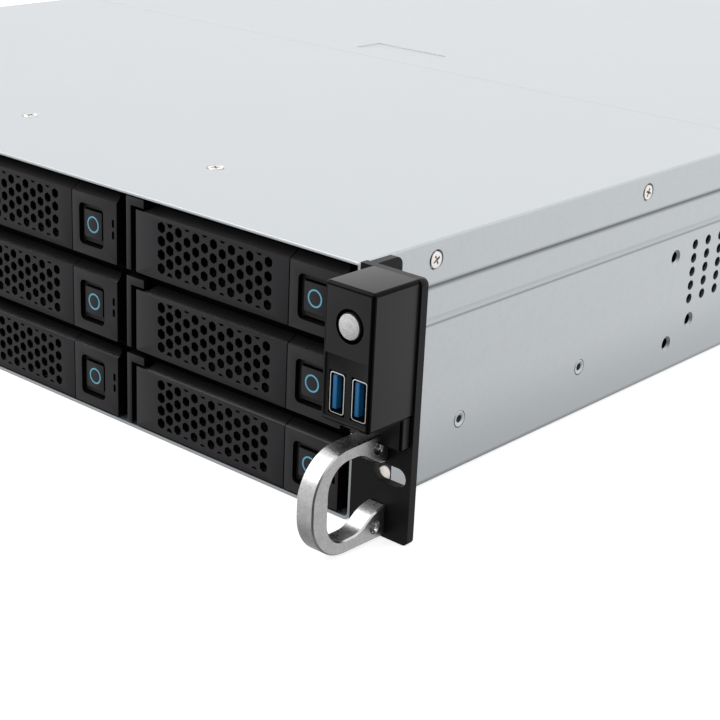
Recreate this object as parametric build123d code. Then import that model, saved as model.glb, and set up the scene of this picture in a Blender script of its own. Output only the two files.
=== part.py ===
"""Rackmount server chassis, two rack units high, with twelve hot-swap drive trays.

Millimetres. X runs to the right seen from the front, Y to the rear, Z up. The pieces are
worked out with the front plane of the rack ears at Y = 0 and the floor's underside at Z = 0,
and move back by FRONT_SHIFT as they are written, so that the origin is the middle of the base.
"""

from build123d import *

import os

# Chassis envelope
EAR_SPAN = 482.6
EAR_HEIGHT = 88.0
BODY_WIDTH = 434.0
BODY_DEPTH = 650.0
BODY_HEIGHT = 87.6
EAR_X = EAR_SPAN / 2
WALL_X = BODY_WIDTH / 2

# Sheet metal
PAN_SHEET = 1.2
COVER_SHEET = 1.0
CAGE_SHEET = 1.0
BEND_R = 3.0
JOGGLE_Z = 59.0
FLANGE_Z = 72.5
COVER_SPLIT_Y = 255.0
LIP_Y = 0.4
RELIEF_Y = 7.0

# Bays
COLUMN_PITCH = 106.7
ROW_PITCH = 28.75
ROW_MIDDLE_Z = 42.4
COLUMNS = [(i - 1.5) * COLUMN_PITCH for i in range(4)]
ROWS = [ROW_MIDDLE_Z + (1 - i) * ROW_PITCH for i in range(3)]
CAGE_DEPTH = 172.0
LEDGE = 1.0

# Tray, measured from the middle of its bay
TRAY_HALF = 51.15
FACE_LOW = -11.6
FACE_HIGH = 10.9
VISOR_HIGH = 13.2
VISOR_DEPTH = 4.0
TAB_HIGH = 14.9
POST_W = 3.2
POST_DEPTH = 7.5
TAB_END = -41.2
RAIL_IN = 51.0
RAIL_OUT = 52.4
TRAY_LOW = -12.35
TRAY_FLOOR = 0.8
TRAY_DEPTH = 168.0
CARRIER_Y = 7.5
CARRIER_T = 1.5
SEAM_X = 27.35
SEAM_GAP = 0.4

# Lever
LEVER_LEFT = -45.35
LEVER_T = 2.0
HINGE_X = -43.15
HINGE_Y = 4.0
PIN_R = 0.55
EYE = 0.65
GRILLE_X = -7.0
GRILLE_STEP = 12.0
GRILLE_PITCH = 6.4
GRILLE_COLUMNS = 4
HOLE_TIP = 6.3
HOLE_FLAT = 4.5
HOLE_HIGH = 2.7
VISOR_LEFT = -38.4

# Release button
BUTTON_X = 38.15
BUTTON_SIZE = 10.0
WELL_W = 12.6
WELL_LOW = -8.0
WELL_HIGH = 7.2
WELL_DEPTH = 5.0
BUTTON_FRONT = 0.7
BUTTON_T = 2.2

# Ear, handle and control box
EAR_T = 3.0
FLANGE_Y = 16.6
SLOT_X = 465.1 / 2
SLOT_Z = 22.2
SLOT_LENGTH = 13.5
SLOT_R = 3.25
HANDLE_X = (225.0, 232.0)
HANDLE_Z = 19.0
HANDLE_NOSE = 34.3
BOX_X = (223.0, 240.4)
BOX_Z = (43.6, 88.0)
BOX_DEPTH = 20.5
BOX_FOOT = (4.5, 37.6)
POWER_X = 231.4
POWER_Z = 75.9
POWER_R = 4.3
PORT_X = (226.95, 235.8)
PORT_Z = 53.4
PORT_SIZE = (5.6, 13.1)
PORT_WALL = 0.4

# Side wall features
INSERT_Y = (55.7, 128.1)
INSERT_Z = 19.9
INSERT_R = 1.4
VENT_Y = 205.1
VENT_Z = 40.8
VENT_PITCH = (10.05, 5.72)
VENT_COLUMNS = 3
VENT_R = 2.05
FLANGE_SCREW_Y = (37.4, 164.4)
FLANGE_SCREW_Z = 80.8
TOP_SCREW_Y = 45.6
TOP_SCREW_X = (-106.7, 0.0, 106.7)

# Cooling
FAN_WALL_Y = 258.0
FAN_SIZE = 80.0
FAN_DEPTH = 38.0
FAN_X = (-138.0, 0.0, 138.0)
FAN_Z = 43.4
FAN_BORE = 38.8
BLADE_R = 37.0
HUB_R = 19.0
BLADES = 7

# Power supply modules
PSU_X = (-213.0, -139.5)
PSU_Z = (1.3, 42.1)
SHELF_Z = (41.0, 42.0)
PSU_H = 39.6
PSU_DEPTH = 185.0
PSU_GRIP = 24.0

# Rear panel
IO_X = (-122.0, 36.75)
IO_Z = (4.0, 48.45)
SLOT_PITCH = 20.32
BLANK_X = 54.0

FRONT_SHIFT = (HANDLE_NOSE - (BODY_DEPTH + PSU_GRIP)) / 2


def block(x, y, z):
    """A box between pairs of limits."""
    size = [b - a for a, b in (x, y, z)]
    middle = [(a + b) / 2 for a, b in (x, y, z)]
    return Pos(*middle) * Box(*size)


def along_y(sketch, y):
    """Extrude a sketch drawn in X and Z between two depths."""
    return extrude(Plane.XZ.offset(-y[0]) * sketch, amount=y[0] - y[1])


def along_x(sketch, x):
    """Extrude a sketch drawn in Y and Z between two widths."""
    return extrude(Plane.YZ.offset(x[0]) * sketch, amount=x[1] - x[0])


def along_z(sketch, z):
    """Extrude a sketch drawn in X and Y between two heights."""
    return extrude(Plane.XY.offset(z[0]) * sketch, amount=z[1] - z[0])


def outline(*points):
    """A closed face through corner points."""
    return make_face(Polyline(*points, close=True))


def spots(points, shape):
    """The same sketch set at several points."""
    return Sketch() + [Pos(*p) * shape for p in points]


def save(node, shape):
    """Write one named piece, or a group of like pieces, at its place in the part's frame."""
    moved = Pos(0, FRONT_SHIFT, 0) * shape
    moved.label = node
    export_step(moved, f"parts/{node}.step")


def group(*solids):
    """Separate solids that share a node."""
    return Compound(list(solids))


def other_side(shape):
    """The left-hand twin of a right-hand piece."""
    return mirror(shape, about=Plane.YZ)


# Base pan, with its rear panel


def pan_section():
    """Cross-section of floor and side walls, joggled inwards behind the cover's flanges."""
    top = BODY_HEIGHT - COVER_SHEET - 0.2
    step = PAN_SHEET
    outer = [
        (WALL_X - BEND_R, 0),
        (WALL_X, BEND_R),
        (WALL_X, JOGGLE_Z),
        (WALL_X - step, JOGGLE_Z + step),
        (WALL_X - step, top),
    ]
    inner = [
        (WALL_X - step - PAN_SHEET, top),
        (WALL_X - step - PAN_SHEET, JOGGLE_Z + step),
        (WALL_X - PAN_SHEET, JOGGLE_Z),
        (WALL_X - PAN_SHEET, BEND_R),
        (WALL_X - BEND_R, PAN_SHEET),
    ]
    outer_bend = RadiusArc(outer[0], outer[1], -BEND_R)
    inner_bend = RadiusArc(inner[3], inner[4], BEND_R - PAN_SHEET)
    half = make_face(
        Line((0, 0), outer[0])
        + outer_bend
        + Polyline(*outer[1:], *inner[:4])
        + inner_bend
        + Line(inner[4], (0, PAN_SHEET))
        + Line((0, PAN_SHEET), (0, 0))
    )
    return half + mirror(half, about=Plane.YZ)


def rear_panel():
    """Upright rear wall with I/O window, card slot blanks, air slots and supply bay."""
    y = (BODY_DEPTH - PAN_SHEET, BODY_DEPTH)
    inner_x = WALL_X - 2 * PAN_SHEET
    panel = block((-inner_x, inner_x), y, (PAN_SHEET, BODY_HEIGHT - 1.4))
    through = (y[0] - 1, y[1] + 1)
    panel -= block(IO_X, through, IO_Z)
    bay = (PSU_X[0] - 0.4, PSU_X[1] + 0.4)
    panel -= block(bay, through, (PAN_SHEET, PSU_Z[1] + PSU_H + 0.4))
    for i in range(7):
        left = BLANK_X + i * SLOT_PITCH
        panel -= block((left, left + 15), (y[1] - 0.4, y[1] + 1), (6, 80))
    air = [(IO_X[0] + 12 + i * 16, 64) for i in range(9)]
    panel -= along_y(spots(air, Rectangle(8, 18)), through)
    return panel


def side_openings():
    """Rail inserts, countersunk holes and the vent field, cut through both side walls."""
    x = (-WALL_X - 1, WALL_X + 1)
    rounds = spots([(y, INSERT_Z) for y in INSERT_Y], Circle(INSERT_R))
    vents = [
        (VENT_Y + i * VENT_PITCH[0], VENT_Z + (j - 2) * VENT_PITCH[1])
        for i in range(VENT_COLUMNS)
        for j in range(5)
    ]
    plain = [(190.8, 49.6), (190.8, 13.4), (206.9, INSERT_Z)]
    field = spots(vents, RegularPolygon(VENT_R, 6)) + spots(plain, RegularPolygon(1.9, 6))
    return along_x(rounds, x) + along_x(field, x)


def base_pan():
    """Floor, side walls and rear panel as one folded piece, with the supply bay's partition and shelf."""
    pan = along_y(pan_section(), (LIP_Y, BODY_DEPTH))
    pan += rear_panel()
    wall = PSU_X[1] + 1.0
    pan += block((wall, wall + PAN_SHEET), (450, BODY_DEPTH - 1), (1, 84.4))
    pan += block((-WALL_X + PAN_SHEET, wall + 0.5), (452, BODY_DEPTH), SHELF_Z)
    pan -= block((-WALL_X - 1, WALL_X + 1), (0, RELIEF_Y), (JOGGLE_Z, BODY_HEIGHT))
    return pan - side_openings()


# Covers


def cover(y):
    """Top sheet with a flange folded down over each side."""
    z = (FLANGE_Z, BODY_HEIGHT)
    outer = block((-WALL_X, WALL_X), y, z)
    top_edges = outer.edges().filter_by(Axis.Y).group_by(Axis.Z)[-1]
    outer = chamfer(top_edges, 0.6)
    gap = WALL_X - COVER_SHEET
    return outer - block((-gap, gap), (y[0] - 1, y[1] + 1), (z[0] - 1, z[1] - COVER_SHEET))


def front_cover():
    """Fixed cover over the bays, with seats for its screws."""
    sheet = cover((0, COVER_SPLIT_Y))
    seats = [(x, TOP_SCREW_Y) for x in TOP_SCREW_X]
    sheet -= along_z(spots(seats, RegularPolygon(3.0, 6)), (BODY_HEIGHT - 2, BODY_HEIGHT + 1))
    sides = spots([(y, FLANGE_SCREW_Z) for y in FLANGE_SCREW_Y], RegularPolygon(2.9, 6))
    return sheet - along_x(sides, (-WALL_X - 1, WALL_X + 1))


LID_TABS = (49.0, -129.0)


def rear_lid():
    """Sliding lid, with a finger dish and two tabs folded down at the rear."""
    lid = cover((COVER_SPLIT_Y + 0.3, BODY_DEPTH + 1.3))
    dish = block((-22, 22), (COVER_SPLIT_Y + 14, COVER_SPLIT_Y + 32), (87.1, 89))
    lid -= dish
    for x in LID_TABS:
        y = (BODY_DEPTH + 0.3, BODY_DEPTH + 1.3)
        lid += block((x - 9, x + 9), y, (73.0, BODY_HEIGHT - 0.5))
    return lid


def lid_thumbscrews():
    """Captive screws on the lid's rear tabs."""
    y = (BODY_DEPTH + 1.3, BODY_DEPTH + 8.3)
    heads = [along_y(Pos(x, 79.5) * RegularPolygon(4.6, 12), y) for x in LID_TABS]
    return group(*heads)


# Bays, backplane and fans


def bay_walls():
    """Five upright walls that part the columns, with ledges under the upper two rows."""
    z = (PAN_SHEET, BODY_HEIGHT - COVER_SHEET)
    y = (9.5, CAGE_DEPTH)
    ledge_reach = COLUMN_PITCH / 2 - RAIL_IN
    walls = []
    for i in range(5):
        x = (i - 2) * COLUMN_PITCH
        inwards = [side for side in (-1, 1) if abs(x + side) < 2 * COLUMN_PITCH]
        wall = block((x - CAGE_SHEET / 2, x + CAGE_SHEET / 2), y, z)
        for side in inwards:
            edge = x + side * ledge_reach
            for row in ROWS[:2]:
                top = row + TRAY_LOW - 0.1
                wall += block(sorted((x, edge)), y, (top - LEDGE, top))
        walls.append(wall)
    return group(*walls)


def backplane():
    """Circuit board across the bays, with air slots and one connector for each drive."""
    y = (CAGE_DEPTH + 1.6, CAGE_DEPTH + 4.0)
    board = block((-212.0, 212.0), y, (PAN_SHEET, 84.0))
    slots = [(x, z) for x in COLUMNS for z in (ROWS[0] - 14.4, ROWS[1] - 14.4)]
    board -= along_y(spots(slots, Rectangle(84, 7)), (y[0] - 1, y[1] + 1))
    sockets = spots([(x + 12, z - 6) for x in COLUMNS for z in ROWS], Rectangle(42, 6))
    return board + along_y(sockets, (CAGE_DEPTH - 5.0, y[0] + 0.5))


def fan_wall():
    """Sheet bracket that carries the fans, with an air window for each."""
    y = (FAN_WALL_Y, FAN_WALL_Y + PAN_SHEET)
    wall = block((-212.0, 212.0), y, (PAN_SHEET, 84.4))
    windows = spots([(x, FAN_Z) for x in FAN_X], RegularPolygon(35, 8))
    wall -= along_y(windows, (y[0] - 1, y[1] + 1))
    foot = block((-212.0, 212.0), (FAN_WALL_Y - 12, FAN_WALL_Y + 0.5), (PAN_SHEET, 2 * PAN_SHEET))
    return wall + foot


FAN_Y = (FAN_WALL_Y + PAN_SHEET, FAN_WALL_Y + PAN_SHEET + FAN_DEPTH)


def fan_frame(x):
    """Square frame with a round bore, and a spider behind that holds the motor."""
    half = FAN_SIZE / 2
    frame = block((x - half, x + half), FAN_Y, (FAN_Z - half, FAN_Z + half))
    frame -= along_y(Pos(x, FAN_Z) * RegularPolygon(FAN_BORE, 12), (FAN_Y[0] - 1, FAN_Y[1] + 1))
    back = (FAN_Y[1] - 3.0, FAN_Y[1])
    reach = 2 * FAN_BORE + 0.8
    spider = Pos(x, FAN_Z) * (Rectangle(reach, 3) + Rectangle(3, reach))
    hub = Pos(x, FAN_Z) * RegularPolygon(HUB_R, 8)
    return frame + along_y(spider, back) + along_y(hub, back)


def fan_rotor(x):
    """Hub with raked blades."""
    y = (FAN_Y[0] + 5.0, FAN_Y[1] - 3.1)
    rotor = along_y(Pos(x, FAN_Z) * RegularPolygon(HUB_R - 1, BLADES), y)
    depth = y[1] - y[0]
    lean = 9.0
    for i in range(BLADES):
        rake = outline((-lean, 1), (-lean + 2, 1), (lean, depth - 1), (lean - 2, depth - 1))
        blade = extrude(rake, amount=BLADE_R - HUB_R + 2, dir=(0, 0, 1))
        blade = Pos(0, 0, HUB_R - 3) * blade
        rotor += Pos(x, y[0], FAN_Z) * Rot(0, 360 / BLADES * i, 0) * blade
    return rotor


# Trays, drawn about the middle of a bay


def visor(x):
    """Sloping top edge of the tray's face, between two widths."""
    points = [
        (0, FACE_HIGH),
        (VISOR_DEPTH, VISOR_HIGH),
        (VISOR_DEPTH, VISOR_HIGH - 2.4),
        (LEVER_T, FACE_HIGH - 1.4),
        (0, FACE_HIGH - 1.4),
    ]
    return along_x(outline(*points), x)


def tray():
    """Carrier: post, top tab, button block, vented carrier wall, side rails and floor."""
    body = block((-TRAY_HALF, -TRAY_HALF + POST_W), (0, POST_DEPTH + 1), (FACE_LOW, TAB_HIGH))
    body += block((-TRAY_HALF, TAB_END), (0, POST_DEPTH + 1), (12.3, TAB_HIGH))
    carrier = (CARRIER_Y, CARRIER_Y + CARRIER_T)
    body += block((-RAIL_OUT, RAIL_OUT), carrier, (TRAY_LOW, TAB_HIGH))
    body -= block((-36, 22), (CARRIER_Y - 1, CARRIER_Y + 3), (-10.6, 9.8))
    left = SEAM_X + SEAM_GAP
    body += block((left, TRAY_HALF), (0, CARRIER_Y + 0.5), (FACE_LOW, FACE_HIGH - 1.4))
    body += visor((left, TRAY_HALF))
    well = (BUTTON_X - WELL_W / 2, BUTTON_X + WELL_W / 2)
    body -= block(well, (-1, WELL_DEPTH), (WELL_LOW, WELL_HIGH))
    stem_hole = (BUTTON_X - 2.2, BUTTON_X + 2.2)
    body -= block(stem_hole, (WELL_DEPTH - 1, CARRIER_Y + 3), (-2.2, 2.2))
    for side in (-1, 1):
        rail = sorted((side * RAIL_IN, side * RAIL_OUT))
        body += block(rail, (CARRIER_Y, TRAY_DEPTH), (TRAY_LOW, 9.0))
    floor = block((-RAIL_OUT, RAIL_OUT), (CARRIER_Y, TRAY_DEPTH - 4), (TRAY_LOW, TRAY_LOW + TRAY_FLOOR))
    body += floor - block((-34, 34), (24, 150), (TRAY_LOW - 1, TRAY_LOW + 3))
    for low, high in ((-10.4, -8.3), (8.3, 10.4)):
        lug = block((HINGE_X - 1.3, HINGE_X + 1.3), (HINGE_Y - 1.3, CARRIER_Y + 0.5), (low, high))
        eye = Pos(HINGE_X, HINGE_Y) * Rectangle(2 * EYE, 2 * EYE)
        lug -= along_z(eye, (low - 1, high + 1))
        body += lug
    return body


def grille():
    """The lever's openings: long hexagons in columns of three and two by turns."""
    middle = (GRILLE_COLUMNS - 1) / 2
    centres = []
    for i in range(GRILLE_COLUMNS):
        count = 3 - i % 2
        for j in range(count):
            z = (j - (count - 1) / 2) * GRILLE_PITCH
            centres.append((GRILLE_X + (i - middle) * GRILLE_STEP, z))
    upper = [(HOLE_TIP, 0), (HOLE_FLAT, HOLE_HIGH), (-HOLE_FLAT, HOLE_HIGH)]
    lower = [(-x, -z) for x, z in upper]
    return spots(centres, outline(*upper, *lower))


def lever():
    """Perforated lever plate with sloping top, hinge knuckle, pivot pins and cam nose."""
    plate = block((LEVER_LEFT, SEAM_X), (0, LEVER_T), (FACE_LOW, FACE_HIGH - 1.4))
    plate += block((LEVER_LEFT, VISOR_LEFT + 0.5), (0, LEVER_T), (0, FACE_HIGH + 0.8))
    plate += visor((VISOR_LEFT, SEAM_X))
    plate -= along_y(grille(), (-1, LEVER_T + 1))
    knuckle_x = (HINGE_X - 1.2, HINGE_X + 1.6)
    plate += block(knuckle_x, (LEVER_T - 0.5, HINGE_Y + 1.2), (-7.8, 7.8))
    plate += block((HINGE_X - 3.0, HINGE_X), (HINGE_Y + 0.2, HINGE_Y + 1.2), (-4, 4))
    pin = Pos(HINGE_X, HINGE_Y) * RegularPolygon(PIN_R, 4)
    plate += along_z(pin, (-10.2, 10.2))
    return plate


def release():
    """Square release button with its stem."""
    half = BUTTON_SIZE / 2
    face = (BUTTON_X - half, BUTTON_X + half)
    cap = block(face, (BUTTON_FRONT, BUTTON_FRONT + BUTTON_T), (-half, half))
    cap = chamfer(cap.edges().group_by(Axis.Y)[0], 0.4)
    stem = block((BUTTON_X - 2, BUTTON_X + 2), (BUTTON_FRONT + 1, 8.0), (-2, 2))
    return cap + stem


# Rack ears with their fittings


def ear():
    """Right ear: front plate with its slot, and a flange along the chassis side."""
    plate = block((WALL_X, EAR_X), (0, EAR_T), (0, EAR_HEIGHT))
    plate = fillet(plate.edges().filter_by(Axis.Y).group_by(Axis.X)[-1], 2.0)
    flange = block((WALL_X, WALL_X + EAR_T), (EAR_T - 0.5, FLANGE_Y), (0.4, 87.4))
    corner = flange.edges().filter_by(Axis.X).group_by(Axis.Y)[-1]
    bracket = plate + fillet(corner, 3.0)
    slot = Pos(SLOT_X, SLOT_Z) * SlotOverall(SLOT_LENGTH, 2 * SLOT_R)
    return bracket - along_y(slot, (-1, EAR_T + 1))


def handle_profile():
    """Side outline of the bow in Y and Z, with flared feet."""
    reach = 18.1
    front_r = 15.4
    wall = 4.4
    nose = 7.0
    inner_r = 8.6
    c = -(HANDLE_NOSE - front_r)
    hi = HANDLE_Z + reach
    lo = HANDLE_Z - reach
    crown = HANDLE_Z + 17.6 - front_r
    base = HANDLE_Z - 17.6 + front_r
    outer = (
        Line((0, lo), (c, lo + 0.5))
        + RadiusArc((c, lo + 0.5), (-HANDLE_NOSE, base), front_r)
        + Line((-HANDLE_NOSE, base), (-HANDLE_NOSE, crown))
        + RadiusArc((-HANDLE_NOSE, crown), (c, hi - 0.5), front_r)
        + Line((c, hi - 0.5), (0, hi))
        + Line((0, hi), (0, lo))
    )
    grip = -(HANDLE_NOSE - nose)
    top = hi - 0.5 - wall
    bottom = lo + 0.5 + wall
    foot = 7.5
    inner = (
        Line((0.1, HANDLE_Z + foot), (-1.5, HANDLE_Z + foot))
        + Line((-1.5, HANDLE_Z + foot), (-5.5, HANDLE_Z + foot + 0.8))
        + Line((-5.5, HANDLE_Z + foot + 0.8), (-9.2, HANDLE_Z + foot + 3.0))
        + Line((-9.2, HANDLE_Z + foot + 3.0), (-12.8, top - 0.2))
        + Line((-12.8, top - 0.2), (grip + inner_r, top))
        + RadiusArc((grip + inner_r, top), (grip, top - inner_r), -inner_r)
        + Line((grip, top - inner_r), (grip, bottom + inner_r))
        + RadiusArc((grip, bottom + inner_r), (grip + inner_r, bottom), -inner_r)
        + Line((grip + inner_r, bottom), (-12.8, bottom + 0.2))
        + Line((-12.8, bottom + 0.2), (-9.2, HANDLE_Z - foot - 3.0))
        + Line((-9.2, HANDLE_Z - foot - 3.0), (-5.5, HANDLE_Z - foot - 0.8))
        + Line((-5.5, HANDLE_Z - foot - 0.8), (-1.5, HANDLE_Z - foot))
        + Line((-1.5, HANDLE_Z - foot), (0.1, HANDLE_Z - foot))
        + Line((0.1, HANDLE_Z - foot), (0.1, HANDLE_Z + foot))
    )
    return make_face(outer) - make_face(inner)


def handle():
    """Bow handle with a blind pocket in the outer side of each foot."""
    bow = along_x(handle_profile(), HANDLE_X)
    pockets = spots([(-5.0, HANDLE_Z + 13.6), (-5.0, HANDLE_Z - 13.6)], RegularPolygon(1.7, 6))
    return bow - along_x(pockets, (HANDLE_X[1] - 1.2, HANDLE_X[1] + 1))


def shell_box():
    """Moulded box on the ear: body with eased edges and a lower foot at the back."""
    body = block(BOX_X, (-BOX_DEPTH, 0), BOX_Z)
    front = body.faces().sort_by(Axis.Y)[0].edges()
    body = chamfer(front, 0.8)
    foot = block(BOX_X, (-BOX_FOOT[0], 0), (BOX_FOOT[1], BOX_Z[0] + 1))
    return body + foot


def control_box():
    """Right box: hole for the power button, sunk lower panel and two port openings."""
    box = shell_box()
    button_hole = Pos(POWER_X, POWER_Z) * RegularPolygon(POWER_R + 1.0, 24)
    box -= along_y(button_hole, (-BOX_DEPTH - 1, -BOX_DEPTH + 3.0))
    socket = Pos(POWER_X, POWER_Z) * RegularPolygon(POWER_R - 1.0, 8)
    box -= along_y(socket, (-BOX_DEPTH, -8.0))
    box -= block((BOX_X[0] + 0.7, BOX_X[1] - 0.9), (-BOX_DEPTH - 1, -BOX_DEPTH + 1.0), (45.2, 65.8))
    for x in PORT_X:
        half = PORT_SIZE[0] / 2
        z = (PORT_Z - PORT_SIZE[1] / 2, PORT_Z + PORT_SIZE[1] / 2)
        box -= block((x - half, x + half), (-BOX_DEPTH, -7.0), z)
    return box


def power_button():
    """Round cap with its guide stem."""
    y = (-BOX_DEPTH - 0.2, -BOX_DEPTH + 1.8)
    cap = along_y(Pos(POWER_X, POWER_Z) * RegularPolygon(POWER_R, 24), y)
    stem = along_y(Pos(POWER_X, POWER_Z) * RegularPolygon(2.4, 8), (y[1] - 0.5, -9.5))
    return cap + stem


def usb_ports():
    """Two sockets: open shell, rear wall and tongue, seated in the box's openings."""
    ports = []
    half_w = PORT_SIZE[0] / 2
    half_h = PORT_SIZE[1] / 2
    for x in PORT_X:
        y = (-BOX_DEPTH + 0.6, -7.0)
        port = block((x - half_w, x + half_w), y, (PORT_Z - half_h, PORT_Z + half_h))
        inside_x = (x - half_w + PORT_WALL, x + half_w - PORT_WALL)
        inside_z = (PORT_Z - half_h + PORT_WALL, PORT_Z + half_h - PORT_WALL)
        port -= block(inside_x, (y[0] - 1, -9.0), inside_z)
        port += block((x - 2.1, x - 0.3), (y[0] + 1.0, -8.5), (PORT_Z - 5.5, PORT_Z + 5.5))
        ports.append(port)
    return group(*ports)


def indicator_box():
    """Left box: the same shell with a row of four status windows."""
    box = shell_box()
    windows = [(POWER_X, z) for z in (78, 71, 64, 57)]
    box -= along_y(spots(windows, Rectangle(5, 2.2)), (-BOX_DEPTH - 1, -BOX_DEPTH + 0.6))
    return other_side(box)


def screws():
    """Heads of the fixed screws: cover flanges, cover top and ear flanges."""
    heads = []
    for side in (-1, 1):
        for y in FLANGE_SCREW_Y:
            x = sorted((side * (WALL_X - COVER_SHEET), side * (WALL_X + 0.1)))
            heads.append(along_x(Pos(y, FLANGE_SCREW_Z) * RegularPolygon(2.85, 6), x))
        for z in (15.4, 44.0, 72.6):
            x = sorted((side * (WALL_X + EAR_T), side * (WALL_X + EAR_T + 2.0)))
            heads.append(along_x(Pos(12.0, z) * RegularPolygon(3.0, 6), x))
    for x in TOP_SCREW_X:
        top = (BODY_HEIGHT - COVER_SHEET, BODY_HEIGHT)
        heads.append(along_z(Pos(x, TOP_SCREW_Y) * RegularPolygon(2.95, 6), top))
    return group(*heads)


# Power supply modules


def psu(low):
    """Module case with air slots, mains inlet recess and a bow grip at the rear."""
    y = (BODY_DEPTH - PSU_DEPTH, BODY_DEPTH)
    z = (low, low + PSU_H)
    case = block(PSU_X, y, z)
    rear = (BODY_DEPTH - 12, BODY_DEPTH + 1)
    left = PSU_X[0]
    case -= block((left + 44, left + 68), rear, (low + 4, low + 20))
    air = [(left + 7 + i * 5, low + 20) for i in range(7)]
    case -= along_y(spots(air, Rectangle(2.6, 30)), (BODY_DEPTH - 3, BODY_DEPTH + 1))
    bow_y = (BODY_DEPTH, BODY_DEPTH + PSU_GRIP)
    bow = block((left + 41, left + 43.4), bow_y, (low + 6, low + 34))
    bow = chamfer(bow.edges().filter_by(Axis.X).group_by(Axis.Y)[-1], 5.0)
    bow -= block((left + 40, left + 45), (bow_y[0], bow_y[1] - 4), (low + 10, low + 30))
    return case + bow


def psu_latch(low):
    """Spring tab beside the grip, pressed sideways to free the module."""
    left = PSU_X[0] + 62.0
    tab = block((left, left + 8.0), (BODY_DEPTH + 0.1, BODY_DEPTH + 2.0), (low + 24, low + 36))
    return tab + block((left, left + 1.6), (BODY_DEPTH + 1.0, BODY_DEPTH + 14), (low + 24, low + 36))


def main():
    """Write every piece."""
    os.makedirs("parts", exist_ok=True)
    save("base_pan", base_pan())
    save("front_cover", front_cover())
    save("rear_lid", rear_lid())
    save("lid_thumbscrews", lid_thumbscrews())
    save("bay_walls", bay_walls())
    save("backplane", backplane())
    save("fan_wall", fan_wall())
    save("fan_frames", group(*[fan_frame(x) for x in FAN_X]))
    for i, x in enumerate(FAN_X, 1):
        save(f"fan_rotor_{i}", fan_rotor(x))
    carrier, plate, button = tray(), lever(), release()
    for r, z in enumerate(ROWS, 1):
        for c, x in enumerate(COLUMNS, 1):
            place = Pos(x, 0, z)
            save(f"tray_r{r}c{c}", place * carrier)
            save(f"lever_r{r}c{c}", place * plate)
            save(f"release_r{r}c{c}", place * button)
    save("right_ear", ear())
    save("left_ear", other_side(ear()))
    save("right_handle", handle())
    save("left_handle", other_side(handle()))
    save("control_box", control_box())
    save("power_button", power_button())
    save("usb_ports", usb_ports())
    save("indicator_box", indicator_box())
    save("screws", screws())
    for i, low in enumerate(PSU_Z, 1):
        save(f"psu_{i}", psu(low))
        save(f"psu_latch_{i}", psu_latch(low))


main()
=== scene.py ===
"""Finishes, detailed pieces and studio for a two-unit rackmount server chassis.

Sizes are millimetres from the middle of the chassis: X to the right seen from the front, Y back
from the front face of the rack ears, Z up from the underside. Datum turns them into metres in
the frame that every piece shares.
"""

from __future__ import annotations

import logging
import math
from dataclasses import dataclass
from enum import Enum
from typing import Callable, Iterable, Sequence

import bmesh
import bpy
from mathutils import Matrix, Vector

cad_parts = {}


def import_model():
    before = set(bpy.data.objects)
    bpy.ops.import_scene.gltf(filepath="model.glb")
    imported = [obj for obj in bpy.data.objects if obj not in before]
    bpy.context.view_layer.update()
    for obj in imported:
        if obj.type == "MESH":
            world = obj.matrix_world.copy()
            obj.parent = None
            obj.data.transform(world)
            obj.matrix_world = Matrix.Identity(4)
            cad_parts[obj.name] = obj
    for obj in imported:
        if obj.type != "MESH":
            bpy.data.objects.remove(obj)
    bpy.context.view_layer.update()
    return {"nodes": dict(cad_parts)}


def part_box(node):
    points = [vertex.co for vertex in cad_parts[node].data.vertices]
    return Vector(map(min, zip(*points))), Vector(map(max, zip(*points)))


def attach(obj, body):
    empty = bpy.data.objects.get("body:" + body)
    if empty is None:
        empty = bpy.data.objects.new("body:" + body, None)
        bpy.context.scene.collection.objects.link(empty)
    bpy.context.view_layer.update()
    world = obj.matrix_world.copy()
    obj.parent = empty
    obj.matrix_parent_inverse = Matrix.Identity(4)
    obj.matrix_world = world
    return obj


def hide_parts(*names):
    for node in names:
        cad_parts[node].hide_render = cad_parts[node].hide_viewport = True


MM = 0.001
SHARP = 0.6  # radians between two faces past which their edge is rounded
BOARD = 173.5  # front face of the backplane's board
REAR = 650.0  # rear face of the pan
BUTTON = (231.4, 75.9)  # middle of the power button
RIGHT = Vector((1, 0, 0))
BACK = Vector((0, 1, 0))
FORWARD = Vector((0, -1, 0))
UP = Vector((0, 0, 1))
MIX_A, MIX_B, MIX_OUT = 6, 7, 2  # the colour sockets of a Mix node
LOG = logging.getLogger("chassis")
Colour = tuple[float, float, float]
Point = tuple[float, float]
Spot = tuple[float, float, float]
Look = bpy.types.Material | None


class Axis(Enum):
    """Direction that a flat outline is pushed along, with the two axes that it is drawn on."""

    X = (1, 2, 0)
    Y = (0, 2, 1)
    Z = (0, 1, 2)

    def place(self, across: float, up: float, along: float) -> Vector:
        """Return a point from its two drawn coordinates and its place along the axis."""
        return Vector([value for _, value in sorted(zip(self.value, (across, up, along)))])


class Hole(Enum):
    """Shape of an opening."""

    ROUND = "round"
    HEXAGON = "hexagon"
    BOX = "box"
    TAPER = "taper"


@dataclass(frozen=True)
class Opening:
    """One opening of a plate.

    Args:
        centre: its middle on the plate.
        half: its half sizes.
        kind: its shape.
        corner: radius of a box's corners, spread of a hexagon's in degrees, or 1 or -1 for the
            wide side of a taper.
    """

    centre: Point
    half: Point
    kind: Hole = Hole.BOX
    corner: float = 0.0


@dataclass(frozen=True)
class Datum:
    """Where the ears' front face stands in the shared frame.

    Args:
        front: depth of that face in metres.
    """

    front: float

    def point(self, spot: Vector) -> Vector:
        """Return a millimetre point of the chassis as a point of the frame."""
        return Vector((spot.x * MM, self.front + spot.y * MM, spot.z * MM))


# Shader expressions


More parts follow.
